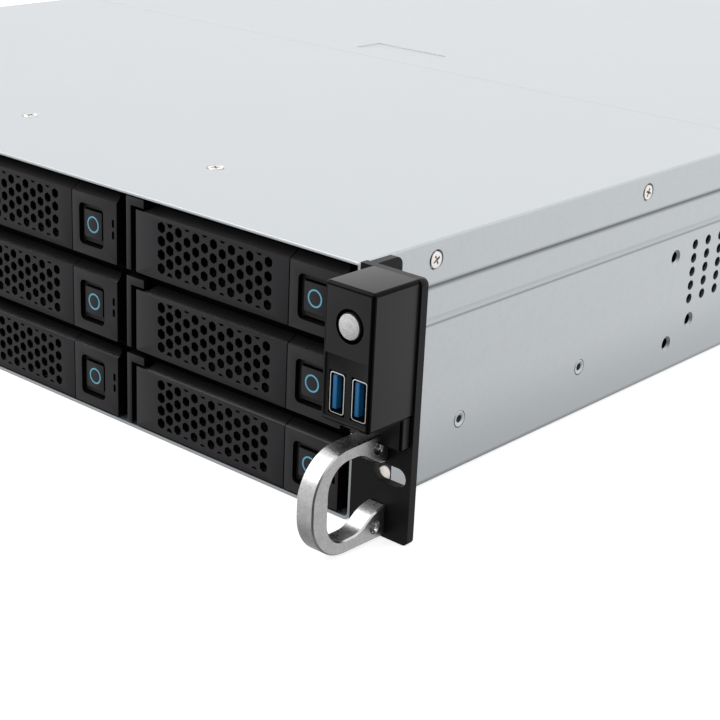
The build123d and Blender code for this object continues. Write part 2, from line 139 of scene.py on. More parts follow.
class Signal:
    """A shader socket that takes part in arithmetic."""

    def __init__(self, shader: "Shader", socket: bpy.types.NodeSocket) -> None:
        """Keep the socket and the shader that it belongs to."""
        self.shader = shader
        self.socket = socket

    def _join(self, operation: str, *values: object) -> "Signal":
        """Return one Math node's result."""
        return self.shader.node("ShaderNodeMath", {"operation": operation}, dict(enumerate(values)))

    def __add__(self, other: object) -> "Signal":
        """Return the sum."""
        return self._join("ADD", self, other)

    def __sub__(self, other: object) -> "Signal":
        """Return the difference."""
        return self._join("SUBTRACT", self, other)

    def __rsub__(self, other: object) -> "Signal":
        """Return the reversed difference."""
        return self._join("SUBTRACT", other, self)

    def __mul__(self, other: object) -> "Signal":
        """Return the product."""
        return self._join("MULTIPLY", self, other)

    __radd__ = __add__
    __rmul__ = __mul__

    def __abs__(self) -> "Signal":
        """Return the value without its sign."""
        return self._join("ABSOLUTE", self)

    def _ramp(self, start: float, end: float, first: float, last: float) -> "Signal":
        """Return a smooth step from a first to a last value."""
        inputs = {0: self, 1: start, 2: end, 3: first, 4: last}
        return self.shader.node("ShaderNodeMapRange", {"interpolation_type": "SMOOTHSTEP"}, inputs)

    def near(self, place: float, width: float) -> "Signal":
        """Return 1 at a place, falling softly to 0 at a distance from it."""
        return abs(self - place)._ramp(0.0, width, 1.0, 0.0)

    def above(self, edge: float, soft: float) -> "Signal":
        """Return 0 below an edge and 1 above it, with a soft step."""
        return self._ramp(edge - soft, edge + soft, 0.0, 1.0)


class Shader:
    """The nodes of a material, or of the surround, while they are put together."""

    def __init__(self, owner: bpy.types.Material | bpy.types.World) -> None:
        """Start with the nodes that a new material or surround has.

        Args:
            owner: what the nodes belong to.
        """
        owner.use_nodes = True
        self.owner = owner
        self.tree = owner.node_tree

    @classmethod
    def finish(cls, name: str) -> "Shader":
        """Start a new material."""
        return cls(bpy.data.materials.new(name))

    def node(
        self,
        kind: str,
        settings: dict | None = None,
        inputs: dict | None = None,
        out: int | str = 0,
    ) -> Signal:
        """Add one node.

        Args:
            kind: the node's type.
            settings: its properties, set before its inputs; stops are a ramp's positions and
                colours.
            inputs: values or signals by socket name or number.
            out: the socket that is handed back.

        Returns:
            The chosen output as a signal.
        """
        made = self.tree.nodes.new(kind)
        for key, value in (settings or {}).items():
            if key == "stops":
                self._set_stops(made.color_ramp, value)
            else:
                setattr(made, key, value)
        for key, value in (inputs or {}).items():
            self._feed(made.inputs[key], value)
        return Signal(self, made.outputs[out])

    def _set_stops(self, ramp: bpy.types.ColorRamp, stops: Sequence[tuple[float, Colour]]) -> None:
        """Give a ramp its stops.

        Args:
            ramp: the ramp, with two stops or more.
            stops: positions and colours in order.
        """
        while len(ramp.elements) < len(stops):
            ramp.elements.new(1.0)
        for element, (position, colour) in zip(ramp.elements, stops):
            element.position = position
            element.color = (*colour, 1.0)

    def _feed(self, socket: bpy.types.NodeSocket, value: object) -> None:
        """Link a signal to a socket, or set a plain value.

        Args:
            socket: an input socket.
            value: a signal, or what the socket holds.
        """
        if isinstance(value, Signal):
            self.tree.links.new(value.socket, socket)
        elif isinstance(value, tuple) and len(value) == 3 and socket.type == "RGBA":
            socket.default_value = (*value, 1.0)
        else:
            socket.default_value = value

    def spot(self) -> Signal:
        """Return object coordinates in metres."""
        return self.node("ShaderNodeTexCoord", out="Object")

    def along(self, axis: int) -> Signal:
        """Return one object coordinate in metres."""
        return self.node("ShaderNodeSeparateXYZ", {}, {0: self.spot()}, out=axis)

    def mapped(self, **inputs: object) -> Signal:
        """Return object coordinates that a Mapping node has moved or stretched."""
        return self.node("ShaderNodeMapping", {}, {"Vector": self.spot(), **inputs})

    def noise(self, size: float, detail: float = 3.0, stretch: Spot = (1, 1, 1)) -> Signal:
        """Return noise from 0 to 1.

        Args:
            size: width of its blots in millimetres.
            detail: how many finer layers it has.
            stretch: how much finer it is along each axis.

        Returns:
            The noise's value.
        """
        inputs = {"Vector": self.mapped(Scale=stretch), "Scale": 1 / (size * MM), "Detail": detail}
        return self.node("ShaderNodeTexNoise", {}, inputs)

    def cells(self, size: float) -> Signal:
        """Return one random value for each crystal of a given size.

        Args:
            size: width of a crystal in millimetres.

        Returns:
            The value, from 0 to 1.
        """
        inputs = {"Vector": self.mapped(Scale=(1, 1, 1)), "Scale": 1 / (size * MM)}
        cell = self.node("ShaderNodeTexVoronoi", {}, inputs, out="Color")
        return self.node("ShaderNodeSeparateColor", {}, {0: cell})

    def mix(self, factor: object, first: object, second: object) -> Signal:
        """Return a blend of two colours."""
        inputs = {"Factor": factor, MIX_A: first, MIX_B: second}
        return self.node("ShaderNodeMix", {"data_type": "RGBA"}, inputs, out=MIX_OUT)

    def bump(self, height: Signal, strength: float, distance: float) -> Signal:
        """Return a normal that rises and falls with a height.

        Args:
            height: value from 0 to 1.
            strength: how strongly it tilts the surface.
            distance: rise of a height of one, in millimetres.

        Returns:
            The tilted normal.
        """
        inputs = {"Height": height, "Strength": strength, "Distance": distance * MM}
        return self.node("ShaderNodeBump", {}, inputs)

    def done(
        self, colour: object, rough: object, metal: float = 0.0, **more: object
    ) -> bpy.types.Material:
        """Fill the Principled shader.

        Args:
            colour: its base colour.
            rough: its roughness.
            metal: how metallic it is.
            **more: other sockets, with underscores for the spaces of their names.

        Returns:
            The material.
        """
        base = self.tree.nodes["Principled BSDF"]
        values = {"Base Color": colour, "Roughness": rough, "Metallic": metal}
        values |= {key.replace("_", " "): value for key, value in more.items()}
        for key, value in values.items():
            self._feed(base.inputs[key], value)
        return self.owner


def tinted(tone: Colour, factor: float) -> Colour:
    """Return a tone made lighter or darker."""
    return tuple(channel * factor for channel in tone)


# Finishes


@dataclass(frozen=True)
class Galvanised:
    """Zinc-coated sheet: small crystals, faint clouds, rolling streaks, and painted shade on side
    walls.

    Args:
        name: the material's name.
        painted_shade_lines: painted shade lines along the side walls, each a height, a half width
            and a strength.
        underside_shade_height: height in millimetres below which the side walls darken downwards,
            as painted shade.
        light: tone of the brightest crystals.
        dark: tone of the dullest ones.
        shade_line_tone: tone of the painted shade lines.
        underside_shade_tone: tone of the painted shade at the underside.
        wall: distance of the side walls' outer face from the middle, in metres.
        rough: mean roughness.
        metal: how metallic it is.
    """

    name: str = "galvanised_sheet"
    painted_shade_lines: tuple[Spot, ...] = ()
    underside_shade_height: float = 0.0
    light: Colour = (0.540, 0.564, 0.583)
    dark: Colour = (0.460, 0.489, 0.508)
    shade_line_tone: Colour = (0.03, 0.035, 0.04)
    underside_shade_tone: Colour = (0.20, 0.225, 0.245)
    wall: float = 0.2152
    rough: float = 0.36
    metal: float = 0.82

    def make(self) -> bpy.types.Material:
        """Put its nodes together.

        Returns:
            The material.
        """
        s = Shader.finish(self.name)
        crystals = s.cells(1.6) * 0.30 + s.cells(4.5) * 0.18
        cloud = s.noise(38, 2.0) * 0.34
        streak = s.noise(3.0, 2.0, (1, 0.04, 1)) * 0.18
        grain = s.noise(0.5, 2.0)
        mask = crystals + cloud + streak
        colour = s.mix(mask, self.dark, self.light)
        # Painted shade: dark lines along the side walls, and darkening towards their underside.
        if self.painted_shade_lines:
            outside = abs(s.along(0)).above(self.wall, 0.0004)
            height = s.along(2)
            for place, width, strength in self.painted_shade_lines:
                painted_shade_line = height.near(place * MM, width * MM) * outside * strength
                colour = s.mix(painted_shade_line, colour, self.shade_line_tone)
            low = height.near(0.0, self.underside_shade_height * MM) * outside * 0.36
            colour = s.mix(low, colour, self.underside_shade_tone)
        rough = self.rough + (mask - 0.5) * 0.18
        normal = s.bump(grain * 0.6 + crystals, 0.12, 0.06)
        return s.done(colour, rough, self.metal, Normal=normal)


@dataclass(frozen=True)
class Moulded:
    """Moulded plastic with a fine spark-eroded grain."""

    name: str
    tone: Colour = (0.010, 0.010, 0.010)
    rough: float = 0.46
    shine: float = 0.28
    grain: float = 0.35
    depth: float = 0.03

    def make(self) -> bpy.types.Material:
        """Put its nodes together.

        Returns:
            The material.
        """
        s = Shader.finish(self.name)
        grain = s.noise(self.grain)
        wear = s.noise(22)
        colour = s.mix(wear, self.tone, tinted(self.tone, 1.35))
        rough = self.rough - 0.05 + wear * 0.10
        normal = s.bump(grain, 0.25, self.depth)
        return s.done(colour, rough, Normal=normal, Specular_IOR_Level=self.shine)


@dataclass(frozen=True)
class Painted:
    """Fine-textured black paint on thick steel."""

    name: str = "ear_paint"
    tone: Colour = (0.0088, 0.0080, 0.0088)
    rough: float = 0.38
    shine: float = 0.12

    def make(self) -> bpy.types.Material:
        """Put its nodes together.

        Returns:
            The material.
        """
        s = Shader.finish(self.name)
        peel = s.noise(0.9, 2.0)
        dust = s.noise(14, 4.0)
        colour = s.mix(dust, self.tone, tinted(self.tone, 1.5))
        normal = s.bump(peel, 0.18, 0.05)
        rough = self.rough + (dust - 0.5) * 0.12
        return s.done(colour, rough, Normal=normal, Specular_IOR_Level=self.shine)


@dataclass(frozen=True)
class Brushed:
    """Bare metal with fine brush lines, or blasted where it is stretched no way."""

    name: str
    tone: Colour
    rough: float
    stretch: Spot = (1, 1, 1)
    contrast: float = 0.22
    grain: float = 0.35
    depth: float = 0.03

    def make(self) -> bpy.types.Material:
        """Put its nodes together.

        Returns:
            The material.
        """
        s = Shader.finish(self.name)
        lines = s.noise(self.grain, 3.0, self.stretch)
        spots = s.noise(3.0, 4.0)
        mask = (lines - 0.3) * 1.6 + (spots - 0.5) * 0.6
        colour = s.mix(mask, tinted(self.tone, 1 - self.contrast), self.tone)
        rough = self.rough + (lines - 0.5) * 0.22
        normal = s.bump(lines, 0.35, self.depth)
        return s.done(colour, rough, 1.0, Normal=normal)


@dataclass(frozen=True)
class Spun:
    """Metal turned on a lathe: faint rings round an axis along Y, under a fine satin grain."""

    name: str
    centre: Point
    tone: Colour = (0.90, 0.895, 0.91)
    rough: float = 0.42
    metal: float = 0.4

    def make(self) -> bpy.types.Material:
        """Put its nodes together.

        Returns:
            The material.
        """
        s = Shader.finish(self.name)
        middle = (-self.centre[0] * MM, 0.0, -self.centre[1] * MM)
        spot = s.mapped(Location=middle, Scale=(1.0, 0.0, 1.0))
        settings = {"wave_type": "RINGS", "rings_direction": "SPHERICAL"}
        inputs = {"Vector": spot, "Scale": 90.0, "Distortion": 7.0}
        inputs |= {"Detail": 3.0, "Detail Scale": 2.5}
        rings = s.node("ShaderNodeTexWave", settings, inputs, out="Fac")
        grain = s.noise(0.34)
        mask = (rings - 0.5) * 0.3 + (grain - 0.5) * 2.2 + 0.6
        colour = s.mix(mask, tinted(self.tone, 0.66), self.tone)
        normal = s.bump(rings * 0.3 + grain, 0.25, 0.03)
        return s.done(colour, self.rough + (grain - 0.5) * 0.2, self.metal, Normal=normal)


@dataclass(frozen=True)
class Plain:
    """Small parts: one tone with faint mottling."""

    name: str
    tone: Colour
    rough: float = 0.4
    metal: float = 0.0
    glow: float = 0.0

    def make(self) -> bpy.types.Material:
        """Put its nodes together.

        Returns:
            The material.
        """
        s = Shader.finish(self.name)
        mottle = s.noise(2.0)
        colour = s.mix(mottle, self.tone, tinted(self.tone, 0.86))
        # A glow, where given, is painted light on parts that are no lamps.
        more = {"Emission_Strength": self.glow, "Emission_Color": self.tone} if self.glow else {}
        return s.done(colour, self.rough + (mottle - 0.5) * 0.08, self.metal, **more)


@dataclass(frozen=True)
class Split:
    """Two tones of one node, changing at a depth in metres, such as a board and its sockets."""

    name: str
    ahead: Colour
    behind: Colour
    edge: float
    rough: float = 0.45
    metal: float = 0.0

    def make(self) -> bpy.types.Material:
        """Put its nodes together.

        Returns:
            The material.
        """
        s = Shader.finish(self.name)
        side = s.along(1).above(self.edge, 0.00002)
        mottle = s.noise(1.2)
        tone = s.mix(side, self.ahead, self.behind)
        colour = s.mix(mottle * 0.3, tone, (0.02, 0.02, 0.02))
        return s.done(colour, self.rough + mottle * 0.1, self.metal)


class Finishes:
    """Every material, made once."""

    def __init__(self, datum: Datum) -> None:
        """Make them.

        Args:
            datum: the chassis's place.
        """
        # Painted shade: shadow line under the cover flange, shade at the joggle, darker underside.
        painted_shade_lines = ((71.7, 2.0, 0.80), (59.9, 1.1, 0.20), (58.7, 0.8, 0.50))
        self.sheet = Galvanised().make()
        self.side = Galvanised("side_sheet", painted_shade_lines, underside_shade_height=34.0).make()
        self.tray = Moulded(
            "tray_plastic", (0.0246, 0.0224, 0.0250), shine=0.22, grain=0.5, depth=0.05
        ).make()
        # Painted shade: a near-black copy of the tray plastic for walls, openings and parts in
        # shadow.
        self.deep = Moulded(
            "shaded_plastic", (0.0030, 0.0028, 0.0030), rough=0.6, shine=0.06
        ).make()
        self.polish = Moulded(
            "polished_edge", (0.0110, 0.0106, 0.0114), rough=0.20, shine=0.55, depth=0.01
        ).make()
        # Painted reflection: near black with little shine, standing in for dark reflections on
        # edges.
        self.rounded = Moulded(
            "rounded_edge", (0.0016, 0.0016, 0.0018), rough=0.14, shine=0.07, depth=0.004
        ).make()
        self.housing = Moulded(
            "housing_plastic", (0.0172, 0.0158, 0.0176), rough=0.34, shine=0.26, depth=0.02
        ).make()
        self.panel = Moulded(
            "port_panel", (0.0075, 0.0078, 0.0086), rough=0.34, shine=0.20, depth=0.006
        ).make()
        self.fan = Moulded("fan_plastic", rough=0.5).make()
        self.paint = Painted().make()
        self.bow_rim = Brushed(
            "bow_rim", (0.86, 0.85, 0.86), 0.30, (0.3, 1, 1), contrast=0.34, grain=0.42, depth=0.05
        ).make()
        # The bow's blasted side, its tone darker than the rim's as painted shade.
        self.bow_side = Brushed(
            "bow_side", (0.60, 0.59, 0.60), 0.33, contrast=0.40, grain=0.45, depth=0.035
        ).make()
        self.bow_edge = Brushed("bow_edge", (0.72, 0.71, 0.72), rough=0.20).make()
        self.satin = Spun("button_satin", BUTTON).make()
        self.nickel = Plain("nickel_plate", (0.80, 0.765, 0.73), rough=0.22, metal=1.0).make()
        self.chrome = Plain("polished_screw", (0.60, 0.57, 0.53), rough=0.13, metal=1.0).make()
        # The tongue's faint glow is painted light; it is no lamp.
        self.tongue = Plain("tongue_blue", (0.012, 0.165, 0.40), rough=0.35, glow=0.05).make()
        # Painted shade: a dark copy of the tongue's blue for its side face.
        self.tongue_painted_shade = Plain("tongue_shade", (0.002, 0.026, 0.075)).make()
        # The printed ring's glow is painted light; it is no lamp.
        self.ring = Plain("ring_blue", (0.12, 0.42, 0.58), glow=0.18).make()
        # Dark lamp windows, and painted shade in the sockets, port mouths and power button's hole.
        self.dark = Plain("dark_window", (0.004, 0.004, 0.005), rough=0.25).make()
        self.contact = Plain("gold_contact", (0.83, 0.60, 0.22), rough=0.3, metal=1.0).make()
        self.board = Split(
            "circuit_board", (0.012, 0.012, 0.012), (0.012, 0.10, 0.035), datum.front + BOARD * MM
        ).make()
        self.supply = Split(
            "supply_case", (0.55, 0.56, 0.57), (0.015, 0.015, 0.016),
            datum.front + REAR * MM + 0.0002, rough=0.42, metal=0.6,
        ).make()


# Shaping


def facing(way: Vector) -> Matrix:
    """Return the turn that points the Z axis a given way."""
    return UP.rotation_difference(way).to_matrix().to_4x4()


def oblong(low: Point, high: Point) -> list[Point]:
    """Return the corners of a rectangle, from its lowest one round."""
    return [low, (high[0], low[1]), high, (low[0], high[1])]


def around(centre: Point, half: Point) -> list[Point]:
    """Return the corners of a rectangle round its middle."""
    (x, z), (w, h) = centre, half
    return oblong((x - w, z - h), (x + w, z + h))


def softened(
    bm: bmesh.types.BMesh, parts: Sequence, width: float, steps: int, **more: object
) -> dict:
    """Round edges or corners.

    Args:
        bm: the mesh.
        parts: the edges, or the corners.
        width: their radius.
        steps: faces across the rounding.
        **more: other settings of the operator.

    Returns:
        What the operator made.
    """
    settings = {"profile": 0.5, "affect": "EDGES", "material": -1} | more
    return bmesh.ops.bevel(bm, geom=parts, offset=width, segments=steps, **settings)


class Form:
    """A mesh being shaped with bmesh operators, in millimetres."""

    def __init__(self, *slots: bpy.types.Material) -> None:
        """Start an empty form.

        Args:
            *slots: the materials that its faces choose from.
        """
        self.bm = bmesh.new()
        self.slots = slots

    def number(self, look: Look) -> int:
        """Return the slot of a material, which is the first one where none is named."""
        return 0 if look is None else self.slots.index(look)

    def paint(self, faces: Iterable[bmesh.types.BMFace], look: Look) -> None:
        """Give faces one of the materials.

        Args:
            faces: the faces.
            look: the material.
        """
        slot = self.number(look)
        for face in faces:
            face.material_index = slot

    def _ease(self, faces: set, width: float, steps: int, choose: Callable) -> None:
        """Round the sharp edges of a new solid.

        Args:
            faces: the solid's faces.
            width: radius of the rounding.
            steps: faces across it.
            choose: tells whether an edge is rounded.
        """
        edges = {e for f in faces for e in f.edges if e.calc_face_angle(0) > SHARP}
        softened(self.bm, [e for e in edges if choose(e)], width, steps, clamp_overlap=True)

    def block(
        self,
        low: Spot,
        high: Spot,
        look: Look = None,
        ease: float = 0.0,
        steps: int = 2,
        edge_look: Look = None,
        sharp_rear: bool = False,
    ) -> None:
        """Add a box.

        Args:
            low: its lowest corner.
            high: its highest corner.
            look: its material.
            ease: radius of its edges.
            steps: faces across each rounded edge.
            edge_look: material of its rounded edges, when it is another.
            sharp_rear: whether the edges of its back face stay sharp.
        """
        before = set(self.bm.faces)
        size = [b - a for a, b in zip(low, high)]
        middle = [(a + b) / 2 for a, b in zip(low, high)]
        matrix = Matrix.Translation(middle) @ Matrix.Diagonal((*size, 1.0))
        bmesh.ops.create_cube(self.bm, size=1.0, matrix=matrix)
        if ease:
            rear = high[1] - 0.001 if sharp_rear else math.inf
            new = set(self.bm.faces) - before
            self._ease(new, ease, steps, lambda e: any(v.co.y < rear for v in e.verts))
        made = set(self.bm.faces) - before
        self.paint(made, look)
        if edge_look is not None:
            self.bm.normal_update()
            self.paint((f for f in made if max(abs(c) for c in f.normal) < 0.999), edge_look)

    def _loop(
        self, points: Sequence[Point], axis: Axis, along: float, rounds: dict[int, float]
    ) -> list:
        """Draw a closed outline with some corners rounded.

        Args:
            points: its corners.
            axis: the axis that it is square to.
            along: its place on that axis.
            rounds: radius of some corners by number.

        Returns:
            Its edges.
        """
        made = [self.bm.verts.new(axis.place(a, b, along)) for a, b in points]
        corners = list(made)
        self.bm.faces.new(corners)
        for index, radius in sorted(rounds.items()):
            steps = max(3, int(radius * 1.2))
            got = softened(self.bm, [corners[index]], radius, steps, affect="VERTICES")
            made += got["verts"]
        face = next(f for v in made if v.is_valid for f in v.link_faces)
        edges = list(face.edges)
        bmesh.ops.delete(self.bm, geom=[face], context="FACES_ONLY")
        return edges

    def plate(
        self,
        outline: Sequence[Point],
        axis: Axis,
        span: Point,
        holes: Sequence[Opening] = (),
        rounds: dict[int, float] | None = None,
        look: Look = None,
        ease: float = 0.0,
        wall_look: Look = None,
    ) -> None:
        """Add a flat plate with openings, filled between outlines and pushed along an axis.

        Args:
            outline: corner points.
            axis: direction of its thickness.
            span: where it starts and ends along that axis.
            holes: its openings.
            rounds: radius of some corners by number.
            look: its material.
            ease: radius of the rim at its two faces.
            wall_look: material of its edges and of its openings' walls, when it is another.
        """
        before = set(self.bm.faces)
        edges = self._loop(outline, axis, span[0], rounds or {})
        rim = {v for e in edges for v in e.verts}
        for hole in holes:
            edges += self._opening(hole, axis, span[0])
        filled = bmesh.ops.triangle_fill(self.bm, use_beauty=True, use_dissolve=False, edges=edges)
        faces = [g for g in filled["geom"] if isinstance(g, bmesh.types.BMFace)]
        grown = bmesh.ops.extrude_face_region(self.bm, geom=faces)
        verts = [g for g in grown["geom"] if isinstance(g, bmesh.types.BMVert)]
        bmesh.ops.translate(self.bm, verts=verts, vec=axis.place(0, 0, span[1] - span[0]))
        new = set(self.bm.faces) - before
        bmesh.ops.recalc_face_normals(self.bm, faces=list(new))
        self.paint(new, look)
        if wall_look is not None:
            way = axis.place(0, 0, 1)
            self.paint((f for f in new if abs(f.normal.dot(way)) < 0.5), wall_look)
        if ease:
            far = set(verts)
            rim |= {v for r in rim for e in r.link_edges for v in e.verts if v in far}
            self._ease(new, ease, 2, lambda e: all(v in rim for v in e.verts))

    def _opening(self, hole: Opening, axis: Axis, along: float) -> list:
        """Draw one opening.

        Args:
            hole: what it is like.
            axis: direction of the plate's thickness.
            along: where the plate starts on that axis.

        Returns:
            Its edges.
        """
        x, z = hole.centre
        w, h = hole.half
        if hole.kind is Hole.BOX:
            rounds = {i: hole.corner for i in range(4)} if hole.corner else {}
            return self._loop(around(hole.centre, hole.half), axis, along, rounds)
        if hole.kind is Hole.TAPER:
            neck, mouth = z - h, z + h
            if hole.corner < 0:
                neck, mouth = mouth, neck
            points = [(x - 0.45 * w, neck), (x + 0.45 * w, neck), (x + w, mouth), (x - w, mouth)]
            return self._loop(points, axis, along, {})
        ring = bmesh.ops.create_circle(self.bm, cap_ends=False, radius=1.0, segments=12)["verts"]
        for i, v in enumerate(sorted(ring, key=lambda v: math.atan2(v.co.y, v.co.x))):
            turn = 30 * i
            if hole.kind is Hole.HEXAGON:
                turn = 30 + 60 * (i // 2) + (hole.corner if i % 2 else -hole.corner)
            turn = math.radians(turn)
            v.co = axis.place(x + math.cos(turn) * w, z + math.sin(turn) * h, along)
        return list({e for v in ring for e in v.link_edges})

    def turned(
        self,
        profile: Sequence[Point],
        centre: Spot,
        way: Vector,
        look: Look = None,
        steps: int = 32,
    ) -> None:
        """Add a turned part.

        Args:
            profile: radius and height points, from the axis outwards and back to it.
            centre: where its axis starts.
            way: direction of its axis.
            look: its material.
            steps: faces round it.
        """
        before = set(self.bm.faces)
        verts = [self.bm.verts.new((r, 0.0, h)) for r, h in profile]
        edges = [self.bm.edges.new(pair) for pair in zip(verts, verts[1:])]
        bmesh.ops.spin(
            self.bm, geom=verts + edges, cent=(0, 0, 0), axis=UP, angle=2 * math.pi, steps=steps,
            use_merge=True, use_duplicate=False,
        )
        ring = list({v for f in set(self.bm.faces) - before for v in f.verts})
        bmesh.ops.remove_doubles(self.bm, verts=ring, dist=0.0005)
        new = set(self.bm.faces) - before
        bmesh.ops.recalc_face_normals(self.bm, faces=list(new))
        ring = list({v for f in new for v in f.verts})
        place = Matrix.Translation(centre) @ facing(way)
        bmesh.ops.transform(self.bm, matrix=place, verts=ring)
        self.paint(new, look)

    def joined(self, other: bpy.types.Mesh, matrix: Matrix) -> None:
        """Add a copy of a finished mesh, keeping its slots.

        Args:
            other: the mesh.
            matrix: its place.
        """
        before = set(self.bm.verts)
        self.bm.from_mesh(other)
        bmesh.ops.transform(self.bm, matrix=matrix, verts=list(set(self.bm.verts) - before))

    def mesh(self, name: str) -> bpy.types.Mesh:
        """End the form.

        Args:
            name: the mesh's name.

        Returns:
            The form as a mesh, still in millimetres.
        """
        mesh = bpy.data.meshes.new(name)
        self.bm.to_mesh(mesh)
        self.bm.free()
        for material in self.slots:
            mesh.materials.append(material)
        return mesh


def linked(name: str, data: bpy.types.ID) -> bpy.types.Object:
    """Put a new object into the scene.

    Args:
        name: its name.
        data: its mesh, camera or light.

    Returns:
        The object.
    """
    made = bpy.data.objects.new(name, data)
    bpy.context.scene.collection.objects.link(made)
    return made


def carved(body: bpy.types.Mesh, tool: bpy.types.Mesh) -> bpy.types.Mesh:
    """Cut one mesh out of another.

    Args:
        body: the mesh that is cut.
        tool: what is cut out of it.

    Returns:
        A new mesh.
    """
    whole, cutter = (linked(mesh.name, mesh) for mesh in (body, tool))
    cut = whole.modifiers.new("cut", "BOOLEAN")
    cut.operation = "DIFFERENCE"
    cut.solver = "EXACT"
    cut.use_self = True
    cut.object = cutter
    graph = bpy.context.evaluated_depsgraph_get()
    result = bpy.data.meshes.new_from_object(whole.evaluated_get(graph))
    for made in (whole, cutter):
        bpy.data.objects.remove(made)
    return result


def dress(node: bpy.types.Object, finish: bpy.types.Material, ease: float = 0.0) -> None:
    """Give a node its finish, and ease its edges with live modifiers.

    Args:
        node: the node's object.
        finish: its material.
        ease: radius of its edges in millimetres.
    """
    node.data.materials.clear()
    node.data.materials.append(finish)
    if ease:
        weld = node.modifiers.new("weld", "WELD")
        weld.merge_threshold = 1e-6
        bevel = node.modifiers.new("eased_edges", "BEVEL")
        bevel.width = ease * MM
        bevel.segments = 2
        bevel.limit_method = "ANGLE"
        bevel.angle_limit = math.radians(32)


# Sub-assemblies


@dataclass
class Assembly:
    """Pieces that are built together, and what they all need.

    Args:
        nodes: the loaded solids by name.
        datum: the chassis's place.
        kit: the finishes.
    """

    nodes: dict[str, bpy.types.Object]
    datum: Datum
    kit: Finishes

    def _piece(
        self,
        mesh: bpy.types.Mesh,
        name: str,
        body: str,
        slot: str,
        node: str | None = None,
        shift: Vector = Vector(),
        sharp: float = 35,
    ) -> bpy.types.Object:
        """Put a millimetre mesh into the frame as a piece at the origin.

        Args:
            mesh: the mesh, which is copied.
            name: the piece's name.
            body: the body that it rides on.
            slot: not used.
            node: the solid that it replaces, if it does.
            shift: how far it is moved first, in millimetres.
            sharp: edges over this angle stay sharp, in degrees.

        Returns:
            The piece.
        """
        own = mesh.copy()
        own.name = name
        own.transform(Matrix.Translation(self.datum.point(shift)) @ Matrix.Scale(MM, 4))
        own.polygons.foreach_set("use_smooth", [True] * len(own.polygons))
        own.set_sharp_from_angle(angle=math.radians(sharp))
        piece = linked(name, own)
        if node:
            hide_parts(node)
        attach(piece, body)
        return piece


